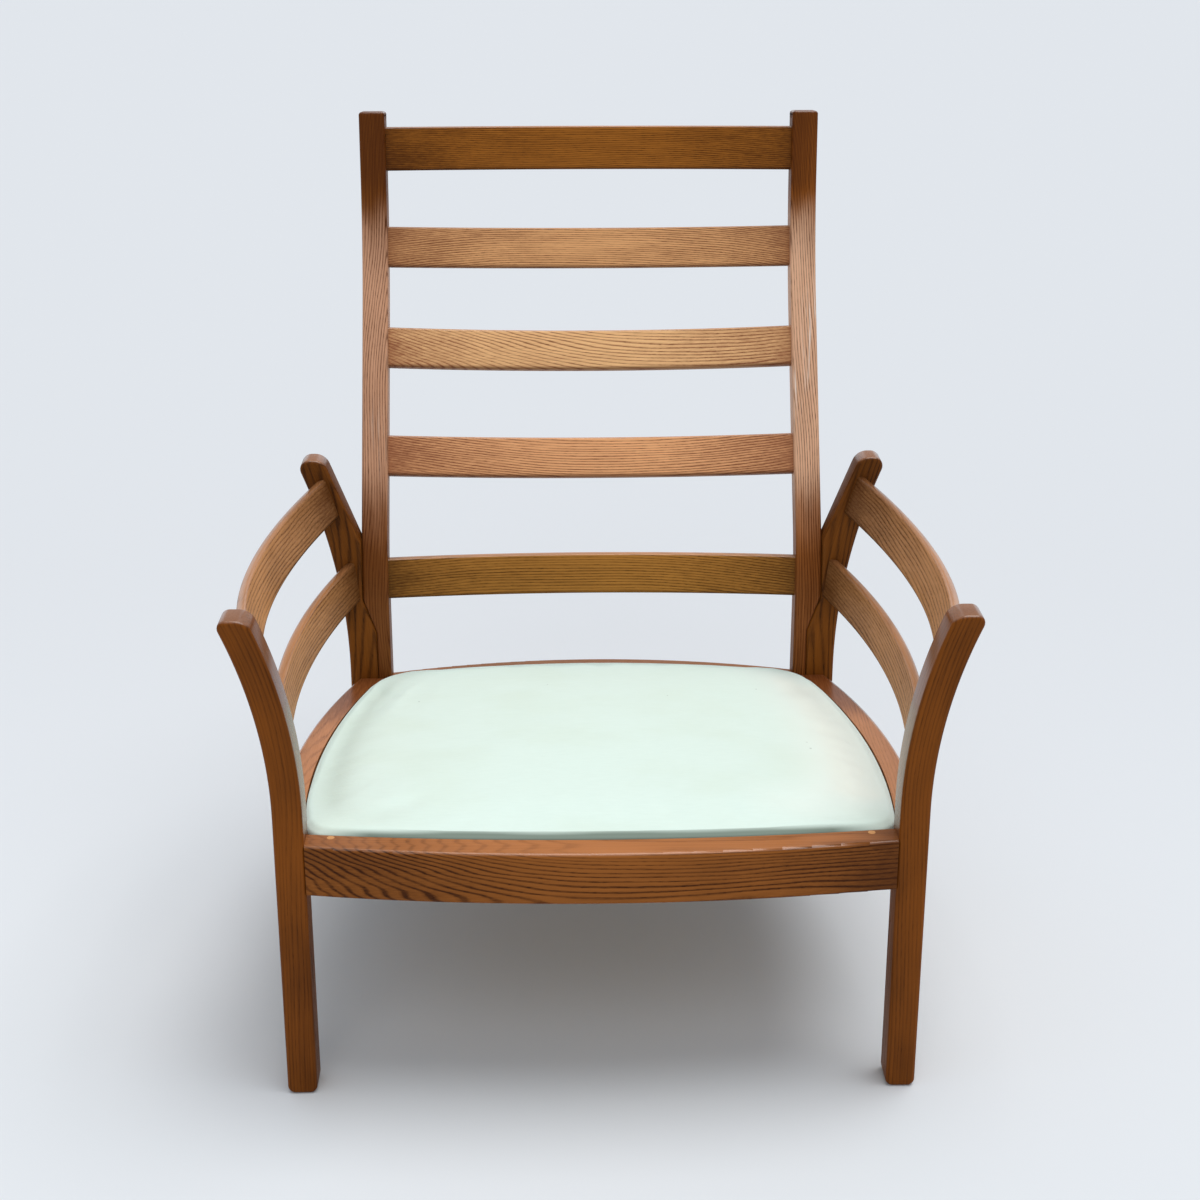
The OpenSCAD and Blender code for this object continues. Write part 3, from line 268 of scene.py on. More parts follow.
def stained_ash(name, light, dark, heart=(0.01, 0.12), tilt=(0.0, 0.02), ring=0.0034,
                wander=0.003, figure=None, at=None, centre=(0.0, 0.0), seed=0.0, depth=1.0,
                streak=1.0, blotch=0.3, along=(), ends=None, rim=None, top=0.55,
                painted_top_light=(222, 154, 104), painted_sheen=0.0, gloss=0.42, coat=0.03, side_gloss=0.0):
    """Ash with open grain under a brown stain and a hand-rubbed varnish. Yearly rings lie round
    the tree's heart, figure bends them, and their early wood has taken the stain darkest. at
    gives the shift and the turns to a board that has no grain of its own. along gives (place,
    share) pairs, darker where share is above a half, and ends is the light colour there. rim is
    half the board's height, for the shade on its lower arris. worn is the colour painted on
    faces that look up, as painted light from above, sheen the strength of painted streaks of
    light, side_gloss that of the sides' polish."""
    wood = Finish(name)
    light, dark = linear(*light), linear(*dark)
    if at:
        point = wood.add("Mapping", {"Vector": wood.here(), "Location": at[0],
                                     "Rotation": [radians(turn) for turn in at[1]]})
    else:
        point = wood.mark("grain", "Vector")
    x, y, z = wood.split(point)
    slow = wood.noise(point, (3.2, 9, 9), 1.0, (seed, 0, 0)) - 0.5
    quick = wood.noise(point, (11, 60, 60), 2.0, (0, seed, 0)) - 0.5
    uneven = wood.noise(point, (0.8, 70, 70), 1.0, (seed, 0, seed)) - 0.5
    run, rise = x - centre[0], z - centre[1]
    across = y + heart[0] + run * tilt[0] + slow * wander * 4
    through = figure(run, rise) if figure else rise
    through = through + heart[1] + run * tilt[1] + slow * wander * 3
    radius = (across * across + through * through) ** 0.5
    radius = radius + quick * wander * 0.5 + uneven * ring * 1.4
    early = wood.add("ValToRGB", {0: (radius / ring).fract()}, stops=(
        (0.0, 0.3), (0.10, 1.0), (0.24, 0.9), (0.40, 0.15), (0.85, 0.0), (1.0, 0.3)))
    strong = wood.noise(point, (2.5, 55, 55), 1.0, (0, seed * 3, 0)).smooth(0.34, 0.62, 0.7, 1.3)
    sideways, _, up = wood.split(wood.add("NewGeometry", output="Normal"))
    upward = up.smooth(0.55, 0.97)
    polish = up.smooth(0.52, 0.72) * up.smooth(0.998, 0.94, 0.3, 1.0) * 0.9
    if side_gloss:
        beside = (sideways * sideways).smooth(0.74, 0.96) * run.smooth(0.25, 0.32)
        polish = polish + beside * side_gloss
    early = early * strong * (1 - upward * 0.6)
    if along:
        low, length = along[0][0], along[-1][0] - along[0][0]
        ramp = wood.add("ValToRGB", {0: (run + quick * 0.05 - low) / length}, stops=[
            ((place - low) / length, share) for place, share in along])
        early = early * ramp.smooth(0.55, 0.95, 1.0, 0.35)
    pores = wood.noise(point, (85, 1500, 1500), 2.0, (0, 0, seed), 0.6).smooth(0.50, 0.64) * early
    fibre = wood.noise(point, (9, 620, 620), 3.0, (seed, seed, 0), 0.6)
    patch = wood.noise(point, (6, 18, 18), 2.0, (seed * 2, 0, 0), 0.55)
    share = early * 0.60 * depth + pores * 0.35 * depth + (fibre - 0.5) * 1.1 * streak
    share = share + (patch - 0.5) * blotch * 2 + 0.22
    if along:
        share = share + (ramp - 0.5) * 1.6
    if ends:
        light = wood.mix(ramp.smooth(0.5, 0.82), light, linear(*ends))
    colour = wood.mix(share.smooth(-0.35, 1.35), light, dark)
    colour = wood.mix(pores * 0.45 * depth, colour, tuple(c * 0.45 for c in dark))
    if rim:
        shade = rise.smooth(-rim, 0.0055 - rim, 0.75, 0.0)
        shade = shade + rise.smooth(rim - 0.003, rim, 0.0, 0.35)
        colour = wood.mix(shade, colour, tuple(c * 0.5 for c in dark))
    # Painted light: faces that look up are painted towards a lighter colour, as if lit from above.
    colour = wood.mix(upward * (1.05 - share * 0.9) * top, colour, linear(*painted_top_light))
    # Painted highlight: pale streaks painted into the colour where the varnish would glint.
    if painted_sheen:
        painted_glint = wood.noise(point, (14, 330, 330), 2.0, (0, 0, seed * 2)).smooth(0.52, 0.66)
        painted_glint = painted_glint * patch.smooth(0.50, 0.66) * run.smooth(0.50, 0.62) * run.smooth(0.84, 0.76)
        colour = wood.mix(painted_glint * painted_sheen, colour, linear(244, 226, 212))
    return wood.finish({
        "Base Color": colour, "Roughness": (fibre - 0.5) * 0.3 + pores * 0.2 + gloss,
        "Normal": wood.bump(0.22, 0.0006, (1 - pores) * 0.7 + fibre * 0.3),
        "Specular IOR Level": 0.055, "Coat Roughness": 0.2, "Coat Weight": polish + coat})


def arched(middle, depth):
    """A figure of rings that rise or fall away from one place of the board."""
    return lambda run, rise: rise + (run - middle) * (run - middle) * depth


def dress(piece, material):
    piece.data.materials.clear()
    piece.data.materials.append(material)


def keep(piece, material, node):
    """Fixes a finished piece to the chair in its CAD piece's place."""
    dress(piece, material)
    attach(piece, "root")
    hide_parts(node)


def around(centre, radius, turn):
    return (centre[0] - radius * cos(radians(turn)),
            centre[1] + radius * sin(radians(turn)))


def side_of_leg(x, sign, stretches, counts):
    """A leg's long edge, from its round foot corner up, with points shared out by stretch, so
    that both edges of a leg keep pace and neither loses its roundings."""
    edge = arc((x - sign * foot_round, foot_round), foot_round, -90, -90 + sign * 90, 6)[:-1]
    for stretch, count in zip(stretches, counts):
        edge += spread(stretch, count + 1)[:-1]
    return edge + [stretches[-1][-1]]


def leg_grain(centre_x, start, radius, offset):
    """The plank that a leg was sawn from lies along it, and the horn follows its curve."""
    def grain(x, z, y):
        if z < start:
            return (z + offset, x - centre_x, y)
        turn = atan2(z - start, centre_x + radius - x)
        reach = hypot(z - start, centre_x + radius - x)
        return (start + radius * turn + offset, radius - reach, y)
    return grain


def front_leg_edge(x, sign, radius, tip):
    """One long edge of a front leg, from the foot to the end of its rounded tip corner."""
    centre = (front_outer + front_sweep_radius, front_sweep_start)
    turn = degrees(asin(
        (front_horn_height - tip - front_sweep_start) / (radius + sign * tip)))
    return side_of_leg(x, sign, [
        [(x, foot_round), (x, front_sweep_start)], arc(centre, radius, 180, 180 - turn, 30),
        arc(around(centre, radius + sign * tip, turn), tip, -turn if sign > 0 else 180 - turn,
            90, 8)], (34, 30, 8))


front_edges = (
    front_leg_edge(front_outer, 1, front_sweep_radius, front_tip_outer),
    front_leg_edge(front_inner, -1, front_sweep_radius + front_leg_width, tip_inner))
for side, mark, offset in ((-1, "left", 0.0), (1, "right", 1.7)):
    leg = sawn_board(
        "front_leg_" + mark + "_wood", *front_edges, lambda rung: (0.0, front_leg_depth), leg_arris,
        lambda x, z, y, side=side: (side * x, front_face_y + y, z),
        leg_grain(front_outer - front_leg_width / 2, front_sweep_start,
                  front_sweep_radius + front_leg_width / 2, offset))
    wood = stained_ash(
        "front_leg_ash_" + mark, (135, 74, 21), (54, 24, 4), heart=(0.12, 0.012),
        tilt=(0.012, 0.05), ring=0.0040, centre=(offset, 0.0), seed=offset + 0.3, depth=0.36,
        streak=0.8, blotch=0.7, painted_top_light=(158, 112, 80), side_gloss=0.75,
        along=((0.0, 0.60), (0.1, 0.52), (0.3, 0.40), (0.42, 0.48), (0.56, 0.5)))
    keep(leg, wood, "front_leg_" + mark)

# Rear legs. Sawn like the front ones, with a longer, gentler horn. The inner side is cut back
# from the crotch down, where the back stile is scribed, glued and dowelled against it.
rear_outer = 0.3145
rear_leg_width = 0.036
rear_leg_depth = 0.036
rear_arris = 0.004
rear_sweep_start = 0.270
rear_sweep_radius = 0.730
rear_horn_height = 0.555
rear_tip_outer = 0.012
crotch_height = 0.446
shoulder_height = 0.368
shoulder_rise = 0.045
stile_inner = 0.2615
stile_outer = 0.2945
rear_face_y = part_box("rear_leg_right")[0][1]
rear_inner = rear_outer - rear_leg_width

rear_centre = (rear_outer + rear_sweep_radius, rear_sweep_start)
rear_turn = degrees(asin(
    (rear_horn_height - rear_tip_outer - rear_sweep_start) / (rear_sweep_radius + rear_tip_outer)))
tip_lean = asin((rear_horn_height - tip_inner - rear_sweep_start) / rear_sweep_radius)
tip_rise = rear_horn_height - tip_inner + tip_inner * sin(tip_lean) - crotch_height
tip_foot = (stile_outer + tip_rise * tan(tip_lean), crotch_height + tip_rise)
tip_centre = (tip_foot[0] + tip_inner * cos(tip_lean),
              tip_foot[1] - tip_inner * sin(tip_lean))


def rear_sweep(z):
    """Where the rear leg's outer face lies at a height."""
    rise = max(z - rear_sweep_start, 0.0)
    return rear_outer + rear_sweep_radius - sqrt(rear_sweep_radius ** 2 - rise ** 2)


cut_start = shoulder_height - shoulder_rise
horn_end = rear_sweep_start + rear_sweep_radius * sin(radians(rear_turn))
tip_start = tip_centre[1] + tip_inner * sin(tip_lean)
rear_share = (32, 6, 8, 12, 8)
rear_heights = (foot_round, cut_start, shoulder_height, crotch_height, horn_end)
outer_stretches = [[(rear_sweep(low + (high - low) * i / 20), low + (high - low) * i / 20)
                    for i in range(21)] for low, high in zip(rear_heights, rear_heights[1:])]
inner_turns = [(rear_inner, foot_round), (rear_inner, cut_start), (stile_outer, shoulder_height),
               (stile_outer, crotch_height), (tip_foot[0], tip_start)]
rear_edges = (
    side_of_leg(rear_outer, 1, outer_stretches + [
        arc(around(rear_centre, rear_sweep_radius + rear_tip_outer, rear_turn), rear_tip_outer,
            -rear_turn, 90, 8)], rear_share),
    side_of_leg(rear_inner, -1, [list(ends) for ends in zip(inner_turns, inner_turns[1:])] + [
        arc(tip_centre, tip_inner, 180 - degrees(tip_lean), 90, 8)], rear_share))
for side, mark, offset, veer in ((-1, "left", 3.1, 0.07), (1, "right", 4.9, 0.015)):
    leg = sawn_board(
        "rear_leg_" + mark + "_wood", *rear_edges, lambda rung: (0.0, rear_leg_depth), rear_arris,
        lambda x, z, y, side=side: (side * x, rear_face_y + y, z),
        leg_grain(rear_outer - rear_leg_width / 2, rear_sweep_start,
                  rear_sweep_radius + rear_leg_width / 2, offset))
    wood = stained_ash(
        "rear_leg_ash_" + mark, (140, 80, 26), (56, 27, 7), heart=(0.014, 0.030),
        tilt=(0.03, veer), ring=0.0040, wander=0.004, centre=(offset, 0.0), seed=offset,
        depth=0.7, streak=0.8, along=((0.0, 0.6), (0.26, 0.5), (0.33, 0.45), (0.37, 0.68),
                                      (0.46, 0.62), (0.56, 0.76)))
    keep(leg, wood, "rear_leg_" + mark)

# Back stiles. Each is sawn in one S from a wide board: upright beside the rear leg, leaning
# back behind the sitter, then straightening up again. The foot is scribed to the leg.
stile_depth = 0.038
stile_arris = 0.0042
stile_top_round = 0.0035
stile_middle = 0.278
lean_start = 0.372
lean = radians(27)
lower_bend_radius = 0.200
straighten_start = 0.715
upper_bend_radius = 0.440
top_lean = radians(5)
back_height = 0.958
stile_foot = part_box("back_stile_right")[0][2]

lower_top = lean_start + lower_bend_radius * sin(lean)
lower_back = lower_bend_radius * (1 - cos(lean))
upper_foot_back = lower_back + (straighten_start - lower_top) * tan(lean)
upper_top = straighten_start + upper_bend_radius * (sin(lean) - sin(top_lean))
upper_back = upper_foot_back + upper_bend_radius * (cos(top_lean) - cos(lean))


def stile_at(z):
    """How far behind the rear legs' faces a stile's front face lies at a height, and its lean."""
    if z < lean_start:
        return 0.0, 0.0
    if z < lower_top:
        a = asin((z - lean_start) / lower_bend_radius)
        return lower_bend_radius * (1 - cos(a)), a
    if z < straighten_start:
        return lower_back + (z - lower_top) * tan(lean), lean
    if z < upper_top:
        a = asin(sin(lean) - (z - straighten_start) / upper_bend_radius)
        return upper_foot_back + upper_bend_radius * (cos(a) - cos(lean)), a
    return upper_back + (z - upper_top) * tan(top_lean), top_lean


stations = 110
stile_edges = front_edge, back_edge = [], []
for i in range(stations):
    z = stile_foot + (back_height - stile_top_round - stile_foot) * i / (stations - 1)
    back, a = stile_at(z)
    front_edge.append((back, z))
    back_edge.append((back + stile_depth * cos(a), z - stile_depth * sin(a)))
run = Vector((cos(top_lean), -sin(top_lean)))
rise = Vector((sin(top_lean), cos(top_lean)))
for edge, sign in ((front_edge, 1), (back_edge, -1)):
    start = Vector(edge[-1])
    for turn in [pi / 2 * k / 4 for k in range(1, 5)]:
        aside, up = stile_top_round * (1 - cos(turn)), stile_top_round * sin(turn)
        edge.append(tuple(start + rise * up + run * sign * aside))


def stile_sides(rung):
    """The stile's inner and outer faces: the outer one is cut back below the shoulder."""
    share = min(max((front_edge[rung][1] - cut_start) / shoulder_rise, 0.0), 1.0)
    return (stile_inner, rear_inner + (stile_outer - rear_inner) * share)


# Each stile's colour runs lighter where its face leans back towards the light and darker at its
# foot and top: partly the wood's own tone, partly painted light. The right stile is painted lighter
# than the left, with stronger painted streaks of light.
for side, mark, offset, light, ends, painted_sheen in (
        (-1, "left", 6.2, (216, 162, 128), (150, 88, 32), 0.25),
        (1, "right", 8.4, (242, 190, 154), (184, 106, 38), 0.8)):
    stile = sawn_board(
        "back_stile_" + mark + "_wood", *stile_edges, stile_sides, stile_arris,
        lambda y, z, x, side=side: (side * x, rear_face_y + y, z),
        lambda y, z, x, offset=offset: (z * 1.08 + offset, x - stile_middle, y - stile_at(z)[0]))
    wood = stained_ash(
        "stile_ash_" + mark, light, (84, 40, 8), heart=(0.10, 0.05), tilt=(0.022, 0.0),
        wander=0.006, figure=arched(0.55, 0.22), centre=(offset, 0.0), seed=offset, depth=0.75,
        streak=0.9, top=0.2, ends=ends, painted_sheen=painted_sheen,
        along=((0.20, 0.80), (0.36, 0.75), (0.46, 0.77), (0.515, 0.68), (0.575, 0.44),
               (0.80, 0.38), (0.88, 0.58), (0.94, 0.88), (1.03, 0.94)))
    keep(stile, wood, "back_stile_" + mark)

# Back slats. Five ash slats bowed backwards, each tenoned into the stiles along their S-curve,
# so that each leans as the stile does at its height. The top one is a little taller.
slat_gap = 0.523
slat_height = 0.052
top_slat_height = 0.055


class Tree(Nodes):
    """A Geometry Nodes tree with named inputs: numbers, vectors and one material."""
    family = "GeometryNode"

    def __init__(self, name, numbers, vectors, material):
        super().__init__(bpy.data.node_groups.new(name, "GeometryNodeTree"))
        self.tree.interface.new_socket(
            "Geometry", in_out="OUTPUT", socket_type="NodeSocketGeometry")
        for kind, labels in (("Geometry", ["Geometry"]), ("Float", numbers), ("Vector", vectors),
                             ("Material", [material])):
            for label in labels:
                socket = self.tree.interface.new_socket(
                    label, in_out="INPUT", socket_type="NodeSocket" + kind)
                if kind == "Float":
                    socket.default_value = numbers[label]
        self.given, self.material = self.tree.nodes.new("NodeGroupInput"), material

    def __getitem__(self, label):
        return Value(self, self.given.outputs[label])

    def moved(self, body, **how):
        return self.add("Transform", {"Geometry": body, **how})

    def strip(self, start, end, count, bend, section, arris, corner_steps):
        """A bar with rounded arrises, along a line that bend draws away from the X axis."""
        line = self.add("CurvePrimitiveLine", {
            "Start": self.vector(start), "End": self.vector(end)})
        line = self.add("ResampleCurve", {"Curve": line, "Count": count})
        x = self.split(self.add("InputPosition"))[0]
        line = self.add("SetPosition", {"Geometry": line, "Position": self.vector(x, *bend(x))})
        line = self.add("SetCurveNormal", {"Curve": line}, mode="Z_UP")
        outline = self.add("CurvePrimitiveQuadrilateral",
                           {"Width": section[0], "Height": section[1]}, mode="RECTANGLE")
        outline = self.add("FilletCurve", {"Curve": outline, "Radius": arris,
                                           "Count": corner_steps}, mode="POLY")
        return self.add("CurveToMesh", {"Curve": line, "Profile Curve": outline, "Fill Caps": True})

    def mark(self, body, name, value):
        return self.add("StoreNamedAttribute", {"Geometry": body, "Name": name, "Value": value},
                        data_type="FLOAT_VECTOR", domain="POINT")

    def finish(self, body):
        whole = self.add("RealizeInstances", {0: body})
        whole = self.add("SetMaterial", {"Geometry": whole, "Material": self[self.material]})
        self.put(self.tree.nodes.new("NodeGroupOutput").inputs[0], whole)


def grown(name, tree, values, places=(), turns=()):
    """Runs a tree on a mesh of bare points and keeps what it makes as a plain mesh."""
    seed = bpy.data.meshes.new(name + "_host")
    seed.from_pydata(places, [], [])
    if turns:
        turned = seed.attributes.new("turn", "FLOAT_VECTOR", "POINT")
        for item, turn in zip(turned.data, turns):
            item.vector = turn
    host = stand(name + "_host", seed)
    step = host.modifiers.new("grown", "NODES")
    step.node_group = tree.tree
    for item in tree.tree.interface.items_tree:
        if item.in_out == "INPUT" and item.name in values:
            step[item.identifier] = values[item.name]
    evaluated = host.evaluated_get(bpy.context.evaluated_depsgraph_get())
    data = bpy.data.meshes.new_from_object(evaluated)
    data.name = name
    bpy.data.objects.remove(host)
    return stand(name, data)


slat_tree = Tree("bowed_slat", {
    "Length": slat_gap, "Bow": 0.022, "Thickness": 0.015, "Height": slat_height, "Arris": 0.003,
    "Let in": 0.003, "Turn": 0.0, "Lean": 0.0, "Aim": 0.0, "Tip": 0.0}, ("Place", "Grain"), "Wood")
bow, half = slat_tree["Bow"], slat_tree["Length"] * 0.5
slat_radius = (half * half + bow * bow) / (bow * 2)
reach = half + slat_tree["Let in"]
slat_body = slat_tree.strip(
    reach * -1.0, reach, 90,
    lambda x: ((slat_radius * slat_radius - x * x) ** 0.5 + bow - slat_radius,),
    (slat_tree["Thickness"], slat_tree["Height"]), slat_tree["Arris"], 5)
slat_body = slat_tree.mark(slat_body, "grain", slat_tree.add(
    "VectorMath", {0: slat_tree.add("InputPosition"), 1: slat_tree["Grain"]}, operation="ADD"))
for label, axis in (("Turn", "z"), ("Lean", "y"), ("Aim", "z"), ("Tip", "x")):
    slat_body = slat_tree.moved(slat_body, Rotation=slat_tree.vector(**{axis: slat_tree[label]}))
slat_body = slat_tree.moved(slat_body, Translation=slat_tree["Place"])
slat_tree.finish(slat_tree.add("SetShadeSmooth", {"Geometry": slat_body, "Shade Smooth": True}))

slat_ends = ((-0.262, 0.86), (-0.225, 0.68), (-0.15, 0.50), (-0.05, 0.38), (0.08, 0.36),
             (0.17, 0.48), (0.235, 0.66), (0.262, 0.84))
# The slats' colours are lit and shaded copies of one ash, as painted light: slats 2 to 4 lean back
# towards the light and are painted lighter, slats 1 and 5 stand nearly upright and are painted
# darker.
for number, z, height, light, dark, ring, heart_up, middle, depth in (
        (1, 0.911, top_slat_height, (176, 108, 38), (76, 36, 6), 0.0024, 0.10, 0.0, 0.12),
        (2, 0.79106, slat_height, (244, 182, 124), (128, 76, 48), 0.0029, 0.15, 0.0, 0.35),
        (3, 0.67318, slat_height, (255, 202, 143), (146, 88, 58), 0.0045, 0.20, 0.14, -0.45),
        (4, 0.546, slat_height, (248, 182, 128), (132, 76, 50), 0.0034, 0.13, 0.0, -0.25),
        (5, 0.394, slat_height, (186, 126, 56), (86, 50, 14), 0.0036, 0.11, 0.0, 0.2)):
    back, a = stile_at(z)
    wood = stained_ash(
        "slat_ash_%d" % number, light, dark, heart=(0.01, heart_up), ring=ring,
        figure=arched(middle, depth), centre=(number * 2.3, 0.0), seed=number * 1.9,
        along=slat_ends, rim=height / 2)
    slat = grown("back_slat_%d_wood" % number, slat_tree, {
        "Height": height, "Tip": -a, "Grain": (number * 2.3, 0.0, 0.0), "Wood": wood,
        "Place": (0.0, rear_face_y + back + stile_depth / 2 * cos(a),
                  z - stile_depth / 2 * sin(a))})
    keep(slat, wood, "back_slat_%d" % number)

# Arm slats. Two on each side, bowed outwards between the rear leg and the front leg and
# leaning with the horns. Their tenons run straight into the legs.
arm_length = 0.515
arm_height = 0.053
arm_drop = 0.010
arm_shade = [(-0.262, 0.66), (-0.16, 0.42), (0.0, 0.44), (0.14, 0.60), (0.22, 0.82), (0.262, 1.0)]
leg_back_y = front_face_y + front_leg_depth
for row, z, bow_out, set_out in (("upper", 0.504, 0.040, 0.004), ("lower", 0.393, 0.032, 0.0015)):
    front_radius = front_sweep_radius + front_leg_width / 2
    rear_tilt = asin((z - rear_sweep_start) / rear_sweep_radius)
    front_tilt = asin((z - arm_drop - front_sweep_start) / front_radius)
    rear_x = rear_sweep(z) - rear_leg_width / 2 / cos(rear_tilt)
    front_x = front_outer + front_sweep_radius - front_radius * cos(front_tilt) + set_out
    for side, mark in ((-1, "left"), (1, "right")):
        grain_x = side * 5.1 + z * 7
        wood = stained_ash(
            "arm_ash_%s_%s" % (row, mark), (214, 152, 98), (80, 42, 12), heart=(0.01, 0.14),
            tilt=(0.0, 0.04), ring=0.0050, centre=(grain_x, 0.0), seed=side * 3 + z * 9,
            depth=0.6, streak=0.55, rim=arm_height / 2, top=0.45, painted_top_light=(206, 140, 90),
            along=arm_shade if side < 0 else [(-at, share) for at, share in arm_shade[::-1]])
        slat = grown("arm_slat_%s_%s_wood" % (row, mark), slat_tree, {
            "Length": arm_length, "Bow": bow_out, "Thickness": 0.012, "Height": arm_height,
            "Arris": 0.004, "Turn": -pi / 2 * side,
            "Lean": side * (rear_tilt + front_tilt) / 2,
            "Aim": side * atan((front_x - rear_x) / arm_length),
            "Tip": atan(arm_drop / arm_length), "Grain": (grain_x, 0.0, 0.0), "Wood": wood,
            "Place": (side * (rear_x + front_x) / 2, (rear_face_y + leg_back_y) / 2,
                      z - arm_drop / 2)})
        keep(slat, wood, "arm_slat_%s_%s" % (row, mark))

# Seat rails. Four ash rails with bowed outer faces, tenoned into the legs and stiles, with a
# rebate inside that the seat drops into. The front rail's face is flat-sawn and shows flames.
rail_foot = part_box("front_rail")[0][2]
side_rail_look = (90, (204, 136, 84), (104, 54, 24), None, (132, 74, 30))


def front_flame(run, rise):
    """The front rail's figure: rings fanning down at the left and lying level from the middle."""
    level = run.smooth(-0.34, 0.02)
    fan = (run + 0.02).under(0.0)
    return rise * (level * 0.34 + 0.06) + rise * rise * (6.2 - level * 0.6) - fan * fan * 0.48


for node, shift, (turned, light, dark, figure, ends), along in (
        ("front_rail", 0.0, (0, (164, 98, 42), (66, 31, 9), front_flame, None),
         ((-0.32, 0.66), (-0.2, 0.60), (0.0, 0.42), (0.15, 0.48), (0.24, 0.62), (0.30, 0.84))),
        ("back_rail", 2.0, (0, (150, 92, 44), (72, 38, 14), None, None), ()),
        ("side_rail_left", 4.0, side_rail_look,
         ((-0.16, 1.0), (-0.09, 0.96), (0.02, 0.56), (0.28, 0.42), (0.38, 0.66))),
        ("side_rail_right", 6.0, side_rail_look,
         ((-0.16, 1.0), (-0.08, 0.92), (0.02, 0.52), (0.28, 0.46), (0.38, 0.66)))):
    dress(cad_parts[node], stained_ash(
        node + "_ash", light, dark, heart=(0.42, 0.30), tilt=(0.0, 0.0), ring=0.0038,
        figure=figure, at=((shift, 0.0, 0.0), (0, 0, turned)), centre=(shift, rail_foot),
        seed=len(node) * 0.7, streak=0.6, along=along, ends=ends, painted_top_light=(204, 132, 78)))

# Pegs and dowels. Two pale pegs stand in the front rail's top just in front of the seat, and
# dowels pin each stile to its rear leg. They show end grain or nothing at all.
for node, light, dark in (("rail_pegs", (226, 172, 104), (176, 120, 62)),
                          ("scarf_dowels", (170, 122, 74), (120, 80, 44))):
    dress(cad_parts[node], stained_ash(
        node + "_wood", light, dark, ring=0.0012, at=((0, 0, 0), (0, 90, 0)), seed=2.2))

# Corner blocks and seat frame. The blocks are glued and screwed into the corners under the
# seat, and the seat's half-lapped frame lies in the rails' rebate. Pale wood, left unstained.
for node in [group + place for group, places in (
        ("corner_block_", ("front_left", "front_right", "back_left", "back_right")),
        ("seat_frame_", ("front", "back", "left", "right"))) for place in places]:
    dress(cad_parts[node], stained_ash(
        node + "_wood", (206, 172, 124), (160, 120, 78), heart=(0.3, 0.25), ring=0.004,
        at=((0, 0, 0), (0, 0, 0)), seed=len(node) * 0.31, depth=0.6, gloss=0.6, coat=0.0))

# Seat pad. Mint cloth drawn over foam and turned under the seat frame, where it is stapled. It
# is crowned, its sides draw in between the corners, a soft roll runs along each edge, and the
# cloth pulls in folds from the back left corner.
seat_height = 0.301
seat_slope = radians(4.2)
front_rail_top = 0.028
seat_front_bow = 0.019
side_rail_top = 0.028
side_rail_bow = 0.026
side_rail_set_in = 0.009
back_rail_top = 0.016
back_rail_bow = 0.041
back_rail_set_in = 0.006
cover_fit = 0.0005
side_draw_in = 0.0015
seat_corner_radius = 0.088
cover_thickness = 0.0012
cover_under = -0.0157
crown = 0.026
edge_top = 0.010
roll_width = 0.024
pad_reach = 0.300


def bow_radius(chord, rise):
    return (chord * chord / 4 + rise * rise) / (2 * rise)


front_arc = bow_radius(2 * front_inner, seat_front_bow)
front_arc_y = front_rail_top - seat_front_bow + front_arc
frame_depth = rear_face_y - front_face_y
side_rear_x = rear_outer - side_rail_set_in
side_run = frame_depth - front_leg_depth
side_turn = atan((front_outer - side_rear_x) / side_run)
side_arc = bow_radius(side_run / cos(side_turn), side_rail_bow)
side_arc_at = Vector((
    (front_outer + side_rear_x) / 2 - (side_arc - side_rail_bow) * cos(side_turn),
    (frame_depth + front_leg_depth) / 2 - (side_arc - side_rail_bow) * sin(side_turn)))
seat_side_arc = side_arc - side_rail_top
back_arc = bow_radius(slat_gap, back_rail_bow)
back_face = frame_depth + rear_leg_depth - back_rail_set_in
back_arc_at = Vector((0, back_face + back_rail_bow - back_arc))
seat_back_arc = back_arc - back_rail_top
a_radius, b_radius = seat_side_arc - seat_corner_radius, seat_back_arc - seat_corner_radius
gap = (back_arc_at - side_arc_at).length
along = (a_radius ** 2 - b_radius ** 2 + gap * gap) / (2 * gap)
run = (back_arc_at - side_arc_at) / gap
corner = side_arc_at + run * along
corner += Vector((-run.y, run.x)) * sqrt(a_radius ** 2 - along ** 2)
side_touch = (corner - side_arc_at).normalized()
back_touch = (corner - back_arc_at).normalized()


def drawn(share):
    return side_draw_in * (1 - 4 * (share - 0.5) ** 2)


def front_y(x):
    """Where the seat's front edge lies, from the front legs' faces back."""
    return front_arc_y - sqrt(front_arc ** 2 - x * x)


def side_x(y):
    return side_arc_at.x + sqrt(seat_side_arc ** 2 - (y - side_arc_at.y) ** 2)


def back_y(x):
    return back_arc_at.y + sqrt(seat_back_arc ** 2 - x * x)


half_plan = []
for i in range(24):
    x = i / 23 * (front_inner - 0.014)
    half_plan.append((x, front_y(x) + cover_fit + drawn(0.5 + i / 46)))
for aside, behind in ((0.0085, 0.0014), (0.0048, 0.0036), (0.0022, 0.0085)):
    half_plan.append((front_inner - aside, front_y(front_inner) + behind))
half_plan.append((front_inner - 0.0018, front_leg_depth - 0.0025))
side_from, side_to = front_leg_depth + 0.012, (side_arc_at + side_touch * seat_side_arc).y
for i in range(22):
    y = side_from + i / 21 * (side_to - side_from)
    half_plan.append((side_x(y) - cover_fit - drawn(i / 21), y))
turns = [degrees(atan2(touch.y, touch.x)) for touch in (side_touch, back_touch)]
half_plan += arc(corner, seat_corner_radius - cover_fit, *turns, 12)[1:-1]
for i in range(20):
    x = (back_arc_at + back_touch * seat_back_arc).x * (1 - i / 19)
    half_plan.append((x, back_y(x) - cover_fit - drawn(i / 38)))
plan = spread(half_plan, 105)
plan += [(-x, y) for x, y in plan[-2:0:-1]]
count = len(plan)
